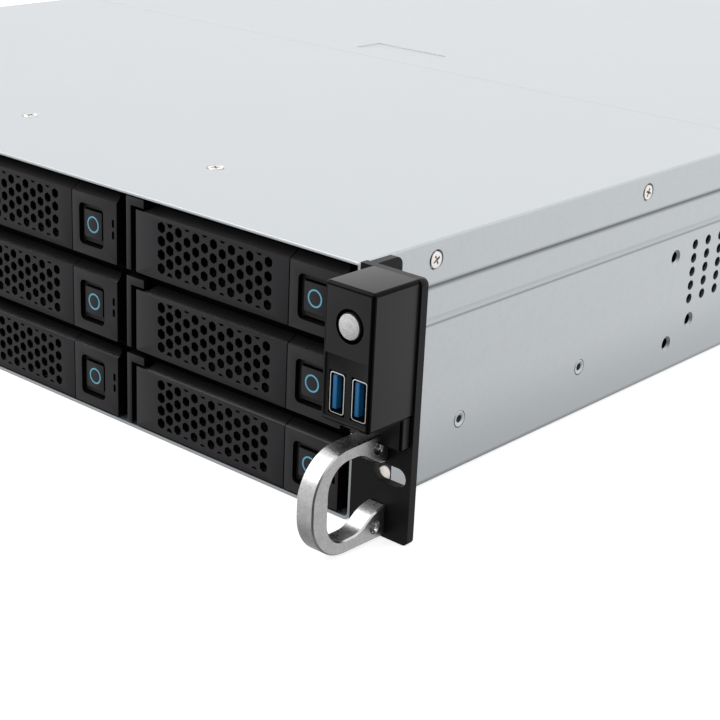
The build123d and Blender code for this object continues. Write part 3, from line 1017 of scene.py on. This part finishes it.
@dataclass
class SheetMetal(Assembly):
    """Base pan, covers and their screws and inserts."""

    wall: float = 217.0
    top: float = 87.6
    cover_front: float = 0.0
    cover_round: float = 0.85
    ear_skin: float = 3.0
    flange_screws: tuple[Point, ...] = ((37.4, 80.8), (164.4, 80.8))
    top_screws: tuple[Point, ...] = ((-106.7, 45.6), (0.0, 45.6), (106.7, 45.6))
    ear_screws: tuple[Point, ...] = ((10.4, 14.6), (10.4, 44.0), (10.4, 73.4))
    inserts: tuple[Point, ...] = ((55.7, 19.9), (128.1, 19.9))
    dimples: tuple[Point, ...] = ((190.8, 49.6), (190.8, 13.4), (206.9, 19.9))
    vent_start: Point = (205.1, 29.36)
    vent_pitch: Point = (10.05, 5.72)
    vent_grid: tuple[int, int] = (3, 5)
    vent_r: float = 2.07
    knobs: tuple[float, ...] = (49.0, -129.0)
    knob_seat: Point = (651.3, 79.5)

    def build(self) -> list[bpy.types.Object]:
        """Build and dress the sheet parts.

        Returns:
            The new pieces.
        """
        for name, ease in (("rear_lid", 0.35), ("bay_walls", 0.0), ("fan_wall", 0.0)):
            dress(self.nodes[name], self.kit.sheet, ease)
        return [self._pan(), self._cover(), self._screws(), self._rail_nuts(), self._thumbscrews()]

    def _sheet(self, node: str) -> bpy.types.Mesh:
        """Merge a sheet's solid.

        Args:
            node: the solid's name.

        Returns:
            A copy of its mesh in millimetres.
        """
        form = Form(self.kit.side)
        bm = form.bm
        bm.from_mesh(self.nodes[node].data)
        bmesh.ops.remove_doubles(bm, verts=bm.verts, dist=1e-6)
        bmesh.ops.dissolve_limit(bm, angle_limit=0.01, verts=bm.verts, edges=bm.edges)
        back = Matrix.Scale(1 / MM, 4) @ Matrix.Translation((0, -self.datum.front, 0))
        bmesh.ops.transform(bm, matrix=back, verts=bm.verts)
        return form.mesh(node + "_form")

    def _on_walls(self, form: Form, *rows: tuple[Sequence[Point], Sequence[Point], int]) -> None:
        """Turn shapes at places on both side walls.

        Args:
            form: the form that they join.
            *rows: each a profile, its places by depth and height, and the faces round it.
        """
        for side in (-1, 1):
            for profile, spots, steps in rows:
                for y, z in spots:
                    spot = (side * self.wall, y, z)
                    form.turned(profile, spot, Vector((side, 0, 0)), steps=steps)

    def _pan(self) -> bpy.types.Object:
        """Shape the pan with its vents made round and its small holes countersunk.

        Returns:
            The piece.
        """
        tool = Form(self.kit.side)
        (y0, z0), (dy, dz), (across, up) = self.vent_start, self.vent_pitch, self.vent_grid
        drill = oblong((0, -1), (self.vent_r, 2 * self.wall + 1))
        for i in range(across * up):
            spot = (-self.wall, y0 + i // up * dy, z0 + i % up * dz)
            tool.turned(drill, spot, RIGHT, steps=16)
        sink = [(0, -3), (2.15, -3), (2.15, -0.95), (3.25, 0.05), (0, 0.05)]
        bore = oblong((0, -3), (3.1, 0.05))
        self._on_walls(tool, (sink, self.dimples, 20), (bore, self.inserts, 28))
        body = carved(self._sheet("base_pan"), tool.mesh("pan_tool"))
        return self._piece(body, "pan_sheet", "chassis", "galvanised_steel", "base_pan", sharp=6)

    def _cover(self) -> bpy.types.Object:
        """Shape the front cover with a soft front edge and countersunk screw seats.

        Returns:
            The piece.
        """
        tool = Form(self.kit.side)
        seat = [(0, -3), (3.05, -3), (3.05, -0.55), (3.6, 0.05), (0, 0.05)]
        self._on_walls(tool, (seat, self.flange_screws, 24))
        for x, y in self.top_screws:
            tool.turned(seat, (x, y, self.top), UP, steps=24)
        sheet = self._sheet("front_cover")
        self._round_front(sheet)
        body = carved(sheet, tool.mesh("cover_tool"))
        return self._piece(
            body, "cover_sheet", "chassis", "galvanised_steel", "front_cover", sharp=6
        )

    def _round_front(self, sheet: bpy.types.Mesh) -> None:
        """Round the cover's top front edge.

        Args:
            sheet: the cover's mesh, in millimetres.
        """
        bm = bmesh.new()
        bm.from_mesh(sheet)
        front, top = self.cover_front + 0.05, self.top - 0.05
        corners = {v for v in bm.verts if v.co.y < front and v.co.z > top}
        edges = [e for e in bm.edges if corners.issuperset(e.verts)]
        edges = [e for e in edges if e.calc_face_angle(0) > SHARP]
        softened(bm, edges, self.cover_round, 3)
        bm.to_mesh(sheet)
        bm.free()

    def _flat_head(self) -> bpy.types.Mesh:
        """Shape a flat screw head with a cross recess, on its own axis along Z.

        Returns:
            Its mesh.
        """
        form, cross = (Form(self.kit.nickel, self.kit.chrome) for _ in range(2))
        flat = [(0, -0.9), (2.2, -0.9), (2.85, -0.12), (2.7, 0.06), (1.0, 0.12), (0, 0.12)]
        form.turned(flat, (0, 0, 0), UP, steps=28)
        cross.block((-1.7, -0.38, -0.8), (1.7, 0.38, 0.6))
        cross.block((-0.38, -1.7, -0.8), (0.38, 1.7, 0.59))
        return carved(form.mesh("head"), cross.mesh("cross"))

    def _domed_head(self) -> bpy.types.Mesh:
        """Shape a plain domed screw head, on its own axis along Z.

        Returns:
            Its mesh.
        """
        form = Form(self.kit.nickel, self.kit.chrome)
        dome = [
            (0, 0), (3.5, 0), (3.65, 0.6), (3.5, 1.4), (3.05, 2.1), (2.3, 2.75), (1.3, 3.2),
            (0.6, 3.32), (0, 3.35),
        ]
        form.turned(dome, (0, 0, 0), UP, self.kit.chrome, 28)
        return form.mesh("dome")

    def _screws(self) -> bpy.types.Object:
        """Shape all fixed screw heads as one piece, each turned another way.

        Returns:
            The piece.
        """
        flat = self._flat_head()
        kinds = (
            (flat, self.flange_screws, self.wall, 0.7),
            (self._domed_head(), self.ear_screws, self.wall + self.ear_skin, 0.9),
        )
        form = Form(self.kit.nickel, self.kit.chrome)
        turn = 0.4
        for side in (-1, 1):
            way = facing(Vector((side, 0, 0)))
            for head, spots, out, more in kinds:
                for y, z in spots:
                    turn += more
                    spot = Matrix.Translation((side * out, y, z)) @ way
                    form.joined(head, spot @ Matrix.Rotation(turn, 4, "Z"))
        for x, y in self.top_screws:
            turn += 0.6
            spot = Matrix.Translation((x, y, self.top))
            form.joined(flat, spot @ Matrix.Rotation(turn, 4, "Z"))
        return self._piece(form.mesh("screw_heads"), "screw_heads", "chassis", "nickel", "screws")

    def _rail_nuts(self) -> bpy.types.Object:
        """Shape the pressed-in nuts of the slide rails, as one piece.

        Returns:
            The piece.
        """
        form = Form(self.kit.sheet)
        ring = [
            (1.35, -1.6), (2.92, -1.6), (2.92, -0.1), (2.7, 0.1), (1.9, 0.1), (1.35, -0.25),
            (1.35, -1.6),
        ]
        self._on_walls(form, (ring, self.inserts, 32))
        return self._piece(form.mesh("rail_inserts"), "rail_inserts", "chassis", "nickel")

    def _thumbscrews(self) -> bpy.types.Object:
        """Shape the lid's captive thumbscrews.

        Returns:
            The piece.
        """
        form = Form(self.kit.nickel)
        profile = [(0, 0), (3.6, 0), (4.4, 0.5), (4.4, 6.2), (3.9, 6.8), (2.4, 7.0), (0, 7.0)]
        for x in self.knobs:
            form.turned(profile, (x, *self.knob_seat), BACK, steps=36)
        mesh = form.mesh("lid_knobs")
        return self._piece(mesh, "lid_knobs", "rear_lid", "nickel", "lid_thumbscrews", sharp=50)


@dataclass
class DriveTray(Assembly):
    """Carrier, perforated lever and release button, drawn about the middle of a bay."""

    rows: int = 3
    columns: int = 4
    pitch: Point = (106.7, 28.75)
    middle: float = 42.4  # height of the middle row
    half: float = 51.5
    low: float = -11.6
    high: float = 10.9
    crest_y: float = 4.0
    tab_top: float = 14.9
    tab_end: float = -41.2
    tab_low: float = 11.8
    seam: float = 27.35  # right end of the lever
    seam_gap: float = 0.4
    lever_left: float = -45.15
    skin: float = 1.1
    hinge: Point = (-43.15, 4.0)
    knuckle: float = 7.8  # half of its height
    pin: Point = (0.55, 10.2)  # radius and half of its height
    lugs: Point = (-10.4, 8.3)
    lug_skin: float = 2.1
    lug_half: float = 1.3
    eye: float = 0.65
    post: Point = (-50.25, -47.8)
    post_skin: float = 3.0
    grille_start: Point = (-32.25, 0.1)
    grille_pitch: Point = (4.204, 4.845)
    grille_columns: int = 13
    hexagon: Point = (1.96, 1.81)  # radius in the first two columns and in the others
    button: float = 38.15
    button_half: float = 4.7
    button_depth: Point = (0.7, 2.9)
    block_depths: Sequence[float] = (0.0, 1.9, 5.0, 7.6)  # front face, well, shaft, rear
    stem: float = 2.0
    stem_hole: Point = (2.2, 2.2)
    lamps: tuple[Point, ...] = ((49.6, 3.0), (49.6, -1.2))
    carrier_half: float = 52.4
    carrier_low: float = -12.35
    carrier_top: float = 14.4
    carrier_wall: Point = (7.5, 9.0)
    rail_inside: float = 51.0
    rail_top: float = 9.0
    rail_end: float = 168.0
    floor_half: float = 51.1
    floor_end: float = 164.0
    floor_skin: float = 0.8
    lever_crest: tuple[Spot, ...] = (  # each X, then height and depth of the edge's top
        (-40.9, 11.45, 0.95), (-39.75, 11.55, 1.1), (-39.3, 12.15, 2.1), (-38.85, 12.8, 3.2),
        (-38.5, 13.15, 3.85), (-37.8, 13.2, 4.0), (27.35, 13.2, 4.0),
    )
    block_crest: tuple[Spot, ...] = (
        (27.75, 13.2, 4.0), (49.2, 13.2, 4.0), (50.9, 12.2, 2.3), (51.5, 11.2, 0.6),
    )

    def build(self) -> list[bpy.types.Object]:
        """Build the three pieces of every bay.

        Returns:
            The pieces.
        """
        kinds = {"tray": self._carrier(), "lever": self._lever(), "release": self._release()}
        pieces = []
        for bay in range(self.rows * self.columns):
            row, column = divmod(bay, self.columns)
            tag = f"r{row + 1}c{column + 1}"
            across, up = (column - 1.5) * self.pitch[0], self.middle + (1 - row) * self.pitch[1]
            for kind, mesh in kinds.items():
                node = f"{kind}_{tag}"
                shift = Vector((across, 0, up))
                name = f"{kind}_form_{tag}"
                pieces.append(self._piece(mesh, name, node, "tray_black", node, shift))
        return pieces

    def _holes(self) -> list[Opening]:
        """Place the lever's openings: staggered hexagons, and cut-off ones at the border.

        Returns:
            The openings.
        """
        (x0, z0), (dx, dz) = self.grille_start, self.grille_pitch
        holes = []
        for i in range(self.grille_columns):
            r = self.hexagon[0 if i < 2 else 1]
            x = x0 + i * dx
            count = 4 - i % 2
            rows = [z0 + (j - (count - 1) / 2) * dz for j in range(count)]
            holes += [Opening((x, z), (r, r), Hole.HEXAGON, 6.5) for z in rows]
            if i % 2:
                half, reach = ((1.55, 0.7), 8.65) if i == 1 else ((1.3, 0.38), 8.95)
                holes += [Opening((x, z0 + e * reach), half, Hole.TAPER, e) for e in (-1, 1)]
        return holes

    def _crest(self, form: Form, stations: Sequence[Spot]) -> None:
        """Add the polished edge along the top, which leans back from front to rear.

        Args:
            form: the form that it joins.
            stations: places from left to right, each X with the height and depth of its top.
        """
        before = set(form.bm.faces)
        rings = []
        for x, top, back in stations:
            lean = back / self.crest_y
            rear = (max(back, self.skin), top - 2.3 * lean - 0.1)
            section = [(0.0, self.high), (back, top), rear, (self.skin, self.high - 1.2)]
            verts = [form.bm.verts.new((x, y, z)) for y, z in section]
            rings.append([form.bm.edges.new((verts[i], verts[(i + 1) % 4])) for i in range(4)])
        for here, there in zip(rings, rings[1:]):
            bmesh.ops.bridge_loops(form.bm, edges=here + there)
        for ring in (rings[0], rings[-1]):
            bmesh.ops.contextual_create(form.bm, geom=ring)
        new = set(form.bm.faces) - before
        bmesh.ops.recalc_face_normals(form.bm, faces=list(new))
        form.paint(new, self.kit.polish)

    def _lever(self) -> bpy.types.Mesh:
        """Shape the lever: perforated plate, sloping edge, knuckle and pins.

        Returns:
            Its mesh.
        """
        # Painted shade: the openings' walls, knuckle and pins take the near-black shaded copy.
        deep = self.kit.deep
        form = Form(self.kit.tray, self.kit.polish, deep)
        face = oblong((self.lever_left, self.low), (self.seam, self.high))
        holes = self._holes()
        form.plate(face, Axis.Y, (0, self.skin), holes, {0: 0.7}, ease=0.22, wall_look=deep)
        self._crest(form, self.lever_crest)
        x, y = self.hinge
        up, (thick, reach) = self.knuckle, self.pin
        form.block((x - 1.2, self.skin - 0.3, -up), (x + 1.6, y + 1.2, up), deep, 0.3)
        form.block((x - 3.0, y + 0.2, -4), (x, y + 1.2, 4), deep, 0.2)
        form.turned(oblong((0, 0), (thick, 2 * reach)), (x, y, -reach), UP, deep, 14)
        return form.mesh("lever")

    def _carrier(self) -> bpy.types.Mesh:
        """Shape the carrier: post, tab, button block, vented wall, rails and floor.

        Returns:
            Its mesh.
        """
        # Painted shade: post sides, the block behind, vented wall and lugs take the near-black
        # copy.
        shade = self.kit.deep
        form = Form(self.kit.tray, self.kit.polish, shade, self.kit.dark)
        left, right = self.post
        post = [
            (left, self.low), (right, self.low), (right, self.tab_low),
            (self.tab_end, self.tab_low), (self.tab_end, self.tab_top), (left, self.tab_top),
        ]
        form.plate(post, Axis.Y, (0, self.post_skin), ease=0.25, wall_look=shade)
        form.block((left, 2.8, self.low), (right, 8.5, self.tab_top), shade, 0.2)
        self._block_face(form)
        base, back = self.carrier_low, self.carrier_wall[1]
        wall = oblong((-self.carrier_half, base), (self.carrier_half, self.carrier_top))
        openings = [
            Opening((-7.0, -0.4), (29.0, 10.2), corner=1.5),
            Opening((self.button, 0.0), self.stem_hole),
        ]
        form.plate(wall, Axis.Y, self.carrier_wall, openings, look=shade, ease=0.2)
        rail = oblong((back, base), (self.rail_end, self.rail_top))
        vents = [Opening((38 + i * 34, 0), (9, 4.5), corner=2) for i in range(4)]
        for side in (-1, 1):
            span = tuple(sorted((side * self.rail_inside, side * self.carrier_half)))
            form.plate(rail, Axis.X, span, vents, {2: 5.0}, ease=0.2)
        floor = oblong((-self.floor_half, back), (self.floor_half, self.floor_end))
        window = [Opening((0, 87), (34, 63), corner=4)]
        form.plate(floor, Axis.Z, (base, base + self.floor_skin), window, ease=0.15)
        x, y = self.hinge
        lug = oblong((x - self.lug_half, y - self.lug_half), (x + self.lug_half, 7.8))
        eye = [Opening(self.hinge, (self.eye, self.eye), Hole.ROUND)]
        for low in self.lugs:
            form.plate(lug, Axis.Z, (low, low + self.lug_skin), eye, look=shade)
        return form.mesh("carrier")

    def _block_face(self, form: Form) -> None:
        """Add the button block in layers: sunk surround, button shaft and the wall behind.

        Args:
            form: the form that it joins.
        """
        # Painted shade: walls of the well, shaft and lamp holes, and the wall behind, are near
        # black.
        shade = self.kit.deep
        face = oblong((self.seam + self.seam_gap, self.low), (self.half, self.high))
        well = Opening((self.button - 0.2, -0.3), (6.5, 7.6), corner=1.9)
        holes = [well] + [Opening(spot, (0.62, 1.5), corner=0.55) for spot in self.lamps]
        front, sunk, deep, rear = self.block_depths
        form.plate(face, Axis.Y, (front, sunk), holes, {1: 0.5}, ease=0.25, wall_look=shade)
        shaft = Opening((self.button, 0.0), (5.2, 5.4), corner=0.5)
        groove = Opening((self.button, -7.45), (5.4, 0.42), corner=0.3)
        form.plate(face, Axis.Y, (sunk, deep), [shaft, groove], wall_look=shade)
        stem = Opening((self.button, 0), self.stem_hole)
        form.plate(face, Axis.Y, (deep, rear), [stem], look=shade)
        self._crest(form, self.block_crest)
        for x, z in self.lamps:
            form.block((x - 0.55, 1.2, z - 1.4), (x + 0.55, 2.0, z + 1.4), self.kit.dark)

    def _release(self) -> bpy.types.Mesh:
        """Shape the release button: cap, stem and printed ring.

        Returns:
            Its mesh.
        """
        # Painted shade: the cap's sides and the stem take the near-black shaded copy.
        shade = self.kit.deep
        form = Form(self.kit.tray, self.kit.ring, shade)
        x, stem = self.button, self.stem
        cap = around((x, 0), (self.button_half, 5))
        rounds = {i: 0.5 for i in range(4)}
        form.plate(cap, Axis.Y, self.button_depth, rounds=rounds, ease=0.35, wall_look=shade)
        form.block((x - stem, 2.8, -stem), (x + stem, 8.0, stem), shade)
        # The printed ring's blue has a painted glow.
        ring = [*oblong((2.46, 0), (3.04, 0.05)), (2.46, 0)]
        form.turned(ring, (x, 0.71, 0), FORWARD, self.kit.ring, 48)
        return form.mesh("release")


class Side(Enum):
    """Which end of the front a fitting belongs to."""

    RIGHT = "right"
    LEFT = "left"


@dataclass
class EarFittings(Assembly):
    """What one rack ear carries: bow handle and moulded box."""

    side: Side
    box_x: Point = (221.0, 240.4)
    box_z: Point = (43.6, 88.0)
    depth: float = 20.5
    foot: Spot = (1.9, 4.5, 33.3)  # reach to the left, depth and height of its low end
    power: Point = BUTTON
    power_r: float = 4.0
    panel_z: Point = (45.6, 65.8)
    panel_in: Point = (1.3, 1.6)
    ports: tuple[float, ...] = (226.95, 235.8)
    port_z: float = 53.4
    port: Point = (2.98, 6.65)
    port_back: Point = (-9.0, -7.0)
    port_skin: float = 0.38
    port_room: float = 0.35
    lamps: tuple[float, ...] = (78, 71, 64, 57)
    lamp: Point = (2.5, 1.1)
    bow_x: Point = (225.0, 232.0)
    bow_z: float = 19.0
    nose: float = 34.3
    bar: float = 7.0
    pocket: Point = (-5.0, 13.6)

    def build(self) -> list[bpy.types.Object]:
        """Build the fittings of this side.

        Returns:
            The new pieces.
        """
        side, right = self.side.value, self.side is Side.RIGHT
        dress(self.nodes[f"{side}_ear"], self.kit.paint, 0.6)
        box = "control_box" if right else "indicator_box"
        rows = [
            (self._bow(), f"{side}_bow", "chassis", "bright_aluminium", f"{side}_handle"),
            (self._housing(), f"{side}_housing", "chassis", "glossy_black", box),
        ]
        if right:
            rows += [
                (self._cap(), "power_cap", "power_button", "button_silver", "power_button"),
                (self._sockets(), "sockets", "chassis", "nickel", "usb_ports"),
            ]
        else:
            for mesh, *_ in rows:
                self._mirror(mesh)
        return [self._piece(*row) for row in rows]

    def _mirror(self, mesh: bpy.types.Mesh) -> None:
        """Turn a mesh of the right side into one of the left.

        Args:
            mesh: the mesh.
        """
        bm = bmesh.new()
        bm.from_mesh(mesh)
        bmesh.ops.scale(bm, vec=(-1, 1, 1), verts=bm.verts)
        bmesh.ops.reverse_faces(bm, faces=bm.faces)
        bm.to_mesh(mesh)
        bm.free()

    def _bow(self) -> bpy.types.Mesh:
        """Shape the bow handle: rounded outline with flared feet, broken rims and pockets.

        Returns:
            Its mesh.
        """
        edge = self.kit.bow_edge
        # The sides take the darker side finish, its tone lowered as painted shade.
        form = Form(self.kit.bow_side, self.kit.bow_rim, edge)
        z, n, inner = self.bow_z, self.nose, self.bar - self.nose
        outline = [
            (0, z - 18.1), (-n, z - 17.5), (-n, z + 17.5), (0, z + 18.1),
            (0, z + 7.5), (-5.3, z + 8.2), (-12.6, z + 13.3), (inner, z + 13.3),
            (inner, z - 13.3), (-12.6, z - 13.3), (-5.3, z - 8.2), (0, z - 7.5),
        ]
        rounds = {1: 15.4, 2: 15.4, 5: 2.5, 6: 2.5, 7: 8.6, 8: 8.6, 9: 2.5, 10: 2.5}
        form.plate(outline, Axis.X, self.bow_x, (), rounds, wall_look=self.kit.bow_rim)
        ends = {v for v in form.bm.verts if min(abs(v.co.x - x) for x in self.bow_x) < 0.01}
        rim = [e for e in form.bm.edges if ends.issuperset(e.verts)]
        rim = [e for e in rim if e.calc_face_angle(0) > SHARP]
        softened(form.bm, rim, 0.5, 1, material=form.number(edge))
        pockets = Form(*form.slots)
        dish = [(0, -2.4), (1.5, -2.4), (1.65, -0.8), (2.3, 0.05), (0, 0.05)]
        y, reach = self.pocket
        for end in (-1, 1):
            pockets.turned(dish, (self.bow_x[1], y, z + end * reach), RIGHT, edge, 28)
        return carved(form.mesh("bow"), pockets.mesh("bow_pockets"))

    def _shell(self) -> bpy.types.Mesh:
        """Shape the box's outer form with rounded edges, and its foot.

        Returns:
            Its mesh.
        """
        kit = self.kit
        form = Form(kit.housing, kit.dark, kit.ring, kit.rounded, kit.panel)
        (left, right), (low, high) = self.box_x, self.box_z
        front = (left, -self.depth, low)
        # Painted reflection: the rounded edges take the near-black edge finish.
        form.block(front, (right, 0, high), None, 1.2, 5, kit.rounded, sharp_rear=True)
        reach, depth, base = self.foot
        corner = (right - 0.2, -0.02, low + 2)
        form.block((left - reach, -depth, base), corner, None, 0.8, 3, kit.rounded)
        return form.mesh("shell")

    def _housing(self) -> bpy.types.Mesh:
        """Cut the box's front for button and ports, or for four lamps.

        Returns:
            The box.
        """
        body = self._shell()
        front = -self.depth
        x, z = self.power
        dark = self.kit.dark
        tool = Form(self.kit.rounded, dark)
        if self.side is Side.LEFT:
            w, h = self.lamp
            for lamp in self.lamps:
                tool.block((x - w, front - 1, lamp - h), (x + w, front + 0.6, lamp + h), dark)
            return carved(body, tool.mesh("lamps"))
        # Painted shade: the button's recess and deep hole take near-black finishes.
        rim = self.power_r + 1.25
        hole = [(0, -3.0), (rim, -3.0), (rim, -0.5), (rim + 0.5, 1), (0, 1)]
        tool.turned(hole, (x, front, z), FORWARD, steps=48)
        tool.turned(oblong((0, -12.5), (3.3, -2)), (x, front, z), FORWARD, dark, 24)
        body = carved(body, tool.mesh("button_cut"))
        panel = Form(self.kit.panel)
        (left, right), (base, top), (near, far) = self.box_x, self.panel_z, self.panel_in
        panel.block((left + near, front - 3, base), (right - far, front + 0.6, top), ease=0.3)
        body = carved(body, panel.mesh("panel_cut"))
        # Painted shade: the port mouths' walls take the near-black finish.
        mouths = Form(dark)
        w, h = (size + self.port_room for size in self.port)
        for port in self.ports:
            low = (port - w, front - 1, self.port_z - h)
            mouths.block(low, (port + w, self.port_back[1], self.port_z + h))
        return carved(body, mouths.mesh("mouths"))

    def _cap(self) -> bpy.types.Mesh:
        """Shape the power button: black cap with a metal disc, and its stem.

        Returns:
            Its mesh.
        """
        satin, black = self.kit.satin, self.kit.housing
        form = Form(satin, black)
        r = self.power_r
        ring = [(0, -1.8), (r + 0.25, -1.8), (r + 0.25, 0.1), (r, 0.28), (0, 0.28)]
        disc = [(0, 0.2), (r, 0.2), (r - 0.06, 0.36), (r - 0.2, 0.43), (0, 0.45)]
        stem = oblong((0, -11.0), (2.4, -1.6))
        spot = (self.power[0], -self.depth, self.power[1])
        for profile, look, steps in ((ring, black, 56), (disc, satin, 56), (stem, black, 24)):
            form.turned(profile, spot, FORWARD, look, steps)
        return form.mesh("cap")

    def _sockets(self) -> bpy.types.Mesh:
        """Shape the two sockets: thin rounded shells with a blue tongue and contacts.

        Returns:
            Its mesh.
        """
        kit = self.kit
        form = Form(kit.nickel, kit.tongue, kit.contact, kit.dark, kit.tongue_painted_shade)
        (w, h), z, (end, back) = self.port, self.port_z, self.port_back
        front, skin = -self.depth + 0.6, self.port_skin
        rounds = {i: 1.1 for i in range(4)}
        for x in self.ports:
            shell = around((x, z), self.port)
            mouth = Opening((x, z), (w - skin, h - skin), corner=0.75)
            # Painted shade: the shell's walls and its back plate take the near-black finish.
            form.plate(
                shell, Axis.Y, (front, end), [mouth], rounds, ease=0.16, wall_look=kit.dark
            )
            form.plate(shell, Axis.Y, (end, back), (), rounds, kit.dark)
            tongue, side = (x - 2.35, front + 0.5, z - 5.6), (x - 0.53, front + 2.6, z - 5.3)
            # The tongue's blue has a painted glow, and its side face is painted shade in a darker
            # blue.
            form.block(tongue, (x - 0.5, end + 0.1, z + 5.6), kit.tongue, 0.4)
            form.block(side, (x - 0.35, end + 0.1, z + 5.3), kit.tongue_painted_shade)
            for i in range(4):
                low = z - 4.0 + i * 2.3
                contact = (x - 0.37, front + 3.2, low)
                form.block(contact, (x - 0.25, end - 0.4, low + 1.1), kit.contact)
        return form.mesh("sockets")


@dataclass
class Inside(Assembly):
    """Backplane, fans and power supplies, which show when trays and lid are open."""

    inlet_x: float = -157.0
    inlet_z: tuple[float, ...] = (13.3, 54.1)
    inlet_half: Point = (12.0, 8.0)
    inlet_wall: float = 0.8
    inlet_depth: float = 11.9
    pins: tuple[Point, ...] = ((-7, -1.5), (7, -1.5), (0, 2.5))

    def build(self) -> list[bpy.types.Object]:
        """Dress the inner nodes and add the mains inlets.

        Returns:
            The new pieces.
        """
        kit = self.kit
        rows = [("backplane", kit.board, 0.0), ("fan_frames", kit.fan, 0.6)]
        rows += [(f"fan_rotor_{i}", kit.fan, 0.2) for i in (1, 2, 3)]
        pieces = []
        for i, z in enumerate(self.inlet_z, 1):
            rows += [(f"psu_{i}", kit.supply, 0.3), (f"psu_latch_{i}", kit.fan, 0.2)]
            mesh = self._inlet(z)
            pieces.append(self._piece(mesh, f"mains_inlet_{i}", f"psu_{i}", "black_plastic"))
        for name, finish, ease in rows:
            dress(self.nodes[name], finish, ease)
        return pieces

    def _inlet(self, z: float) -> bpy.types.Mesh:
        """Shape one mains inlet: thin frame and three flat pins.

        Args:
            z: height of its middle.

        Returns:
            Its mesh.
        """
        form = Form(self.kit.fan, self.kit.contact)
        x, (w, h), wall = self.inlet_x, self.inlet_half, self.inlet_wall
        deep = REAR - self.inlet_depth
        mouth = [Opening((x, z), (w - wall, h - wall), corner=2.0)]
        form.plate(around((x, z), (w, h)), Axis.Y, (deep, REAR + 0.3), mouth, ease=0.1)
        for dx, dz in self.pins:
            low = (x + dx - 1, deep, z + dz - 2)
            form.block(low, (x + dx + 1, REAR - 2, z + dz + 2), self.kit.contact, 0.3)
        return form.mesh("inlet")


@dataclass
class Studio:
    """Camera at the photograph's angle, pale floor and soft light."""

    datum: Datum
    lens: float = 82.93
    sensor: float = 36.0
    azimuth: float = 40.33
    elevation: float = 21.0
    roll: float = 2.675
    station: Spot = (528.9, -365.6, 240.6)
    aim: Spot = (0.2, -0.32, 0.05)  # what the lamps face, in metres
    floor_size: float = 12.0
    greys: tuple[Point, ...] = (  # brightness of the surround from underfoot to overhead
        (0.0, 0.18), (0.2, 0.40), (0.34, 0.85), (0.5, 0.92), (0.66, 0.97), (0.9, 0.9),
        (1.0, 0.75),
    )

    def build(self) -> None:
        """Make the camera, floor and lights."""
        self._camera()
        self._floor()
        self._world()
        self._lamp("key", (-0.84, -0.98, 1.18), 1.2, 11.0)
        self._lamp("glint", (0.62, -0.92, 1.45), 0.09, 1.2)
        view = bpy.context.scene.view_settings
        view.view_transform = "Standard"
        view.look = "None"
        view.exposure = 0.0

    def _camera(self) -> None:
        """Place the camera from its station, angles and roll."""
        a, e, r = (math.radians(v) for v in (self.azimuth, self.elevation, self.roll))
        ahead = Vector((-math.sin(a) * math.cos(e), math.cos(a) * math.cos(e), -math.sin(e)))
        right = Vector((math.cos(a), math.sin(a), 0))
        up = right.cross(ahead)
        right, up = math.cos(r) * right + math.sin(r) * up, math.cos(r) * up - math.sin(r) * right
        turn = Matrix((right, up, -ahead)).transposed().to_4x4()
        data = bpy.data.cameras.new("camera")
        data.lens = self.lens
        data.sensor_width = self.sensor
        data.clip_start = 0.02
        data.clip_end = 30
        camera = linked("camera", data)
        camera.matrix_world = Matrix.Translation(self.datum.point(Vector(self.station))) @ turn
        bpy.context.scene.camera = camera

    def _floor(self) -> None:
        """Lay a wide pale floor, drawn in metres, just under the chassis."""
        s = Shader.finish("floor_paper")
        colour = s.mix(s.noise(400, 2.0), (0.60, 0.60, 0.60), (0.64, 0.64, 0.64))
        glow = {"Emission_Color": (1.0, 1.0, 1.0), "Emission_Strength": 0.72}
        form = Form(s.done(colour, 0.9, **glow))
        bmesh.ops.create_grid(form.bm, x_segments=1, y_segments=1, size=self.floor_size)
        floor = linked("floor", form.mesh("floor"))
        floor.location = (0, 0, -0.0002)
        floor.visible_glossy = False
        floor.visible_diffuse = False

    def _world(self) -> None:
        """Light the scene from a pale surround, dark behind the camera and dim underfoot."""
        world = bpy.data.worlds.new("studio")
        bpy.context.scene.world = world
        s = Shader(world)
        way = s.node("ShaderNodeTexCoord", out="Generated")
        height, depth = (s.node("ShaderNodeSeparateXYZ", {}, {0: way}, out=i) for i in (2, 1))
        stops = [(place, (grey,) * 3) for place, grey in self.greys]
        tone = s.node("ShaderNodeValToRGB", {"stops": stops}, {0: height * 0.5 + 0.5})
        front = s.mix(depth.above(-0.1, 0.9), (0.62, 0.62, 0.62), (1.05, 1.05, 1.05))
        tone = s.node("ShaderNodeVectorMath", {"operation": "MULTIPLY"}, {0: tone, 1: front})
        behind = {0: way, 1: (0.64, -0.76, -0.1)}
        hood = s.node("ShaderNodeVectorMath", {"operation": "DOT_PRODUCT"}, behind, out="Value")
        colour = s.mix(hood.above(0.72, 0.2) * 0.9, tone, (0.04, 0.04, 0.04))
        background = s.tree.nodes["Background"]
        s.tree.links.new(colour.socket, background.inputs["Color"])
        background.inputs["Strength"].default_value = 1.3

    def _lamp(self, name: str, spot: Spot, size: float, power: float) -> None:
        """Hang one soft square light.

        Args:
            name: the light's name.
            spot: its place in metres.
            size: its width in metres.
            power: its power in watts.
        """
        data = bpy.data.lights.new(name, "AREA")
        data.size = size
        data.energy = power
        turn = (Vector(self.aim) - Vector(spot)).to_track_quat("-Z", "Y").to_matrix().to_4x4()
        linked(name, data).matrix_world = Matrix.Translation(spot) @ turn


def main() -> None:
    """Build every sub-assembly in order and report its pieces."""
    logging.basicConfig(level=logging.INFO, format="%(message)s")
    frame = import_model()
    datum = Datum(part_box("right_ear")[0].y)
    shared = (frame["nodes"], datum, Finishes(datum))
    made = SheetMetal(*shared).build() + DriveTray(*shared).build()
    for side in Side:
        made += EarFittings(*shared, side).build()
    made += Inside(*shared).build()
    for piece in made:
        LOG.info("%s: %d faces", piece.name, len(piece.data.polygons))
    Studio(datum).build()


if __name__ == "__main__":
    main()
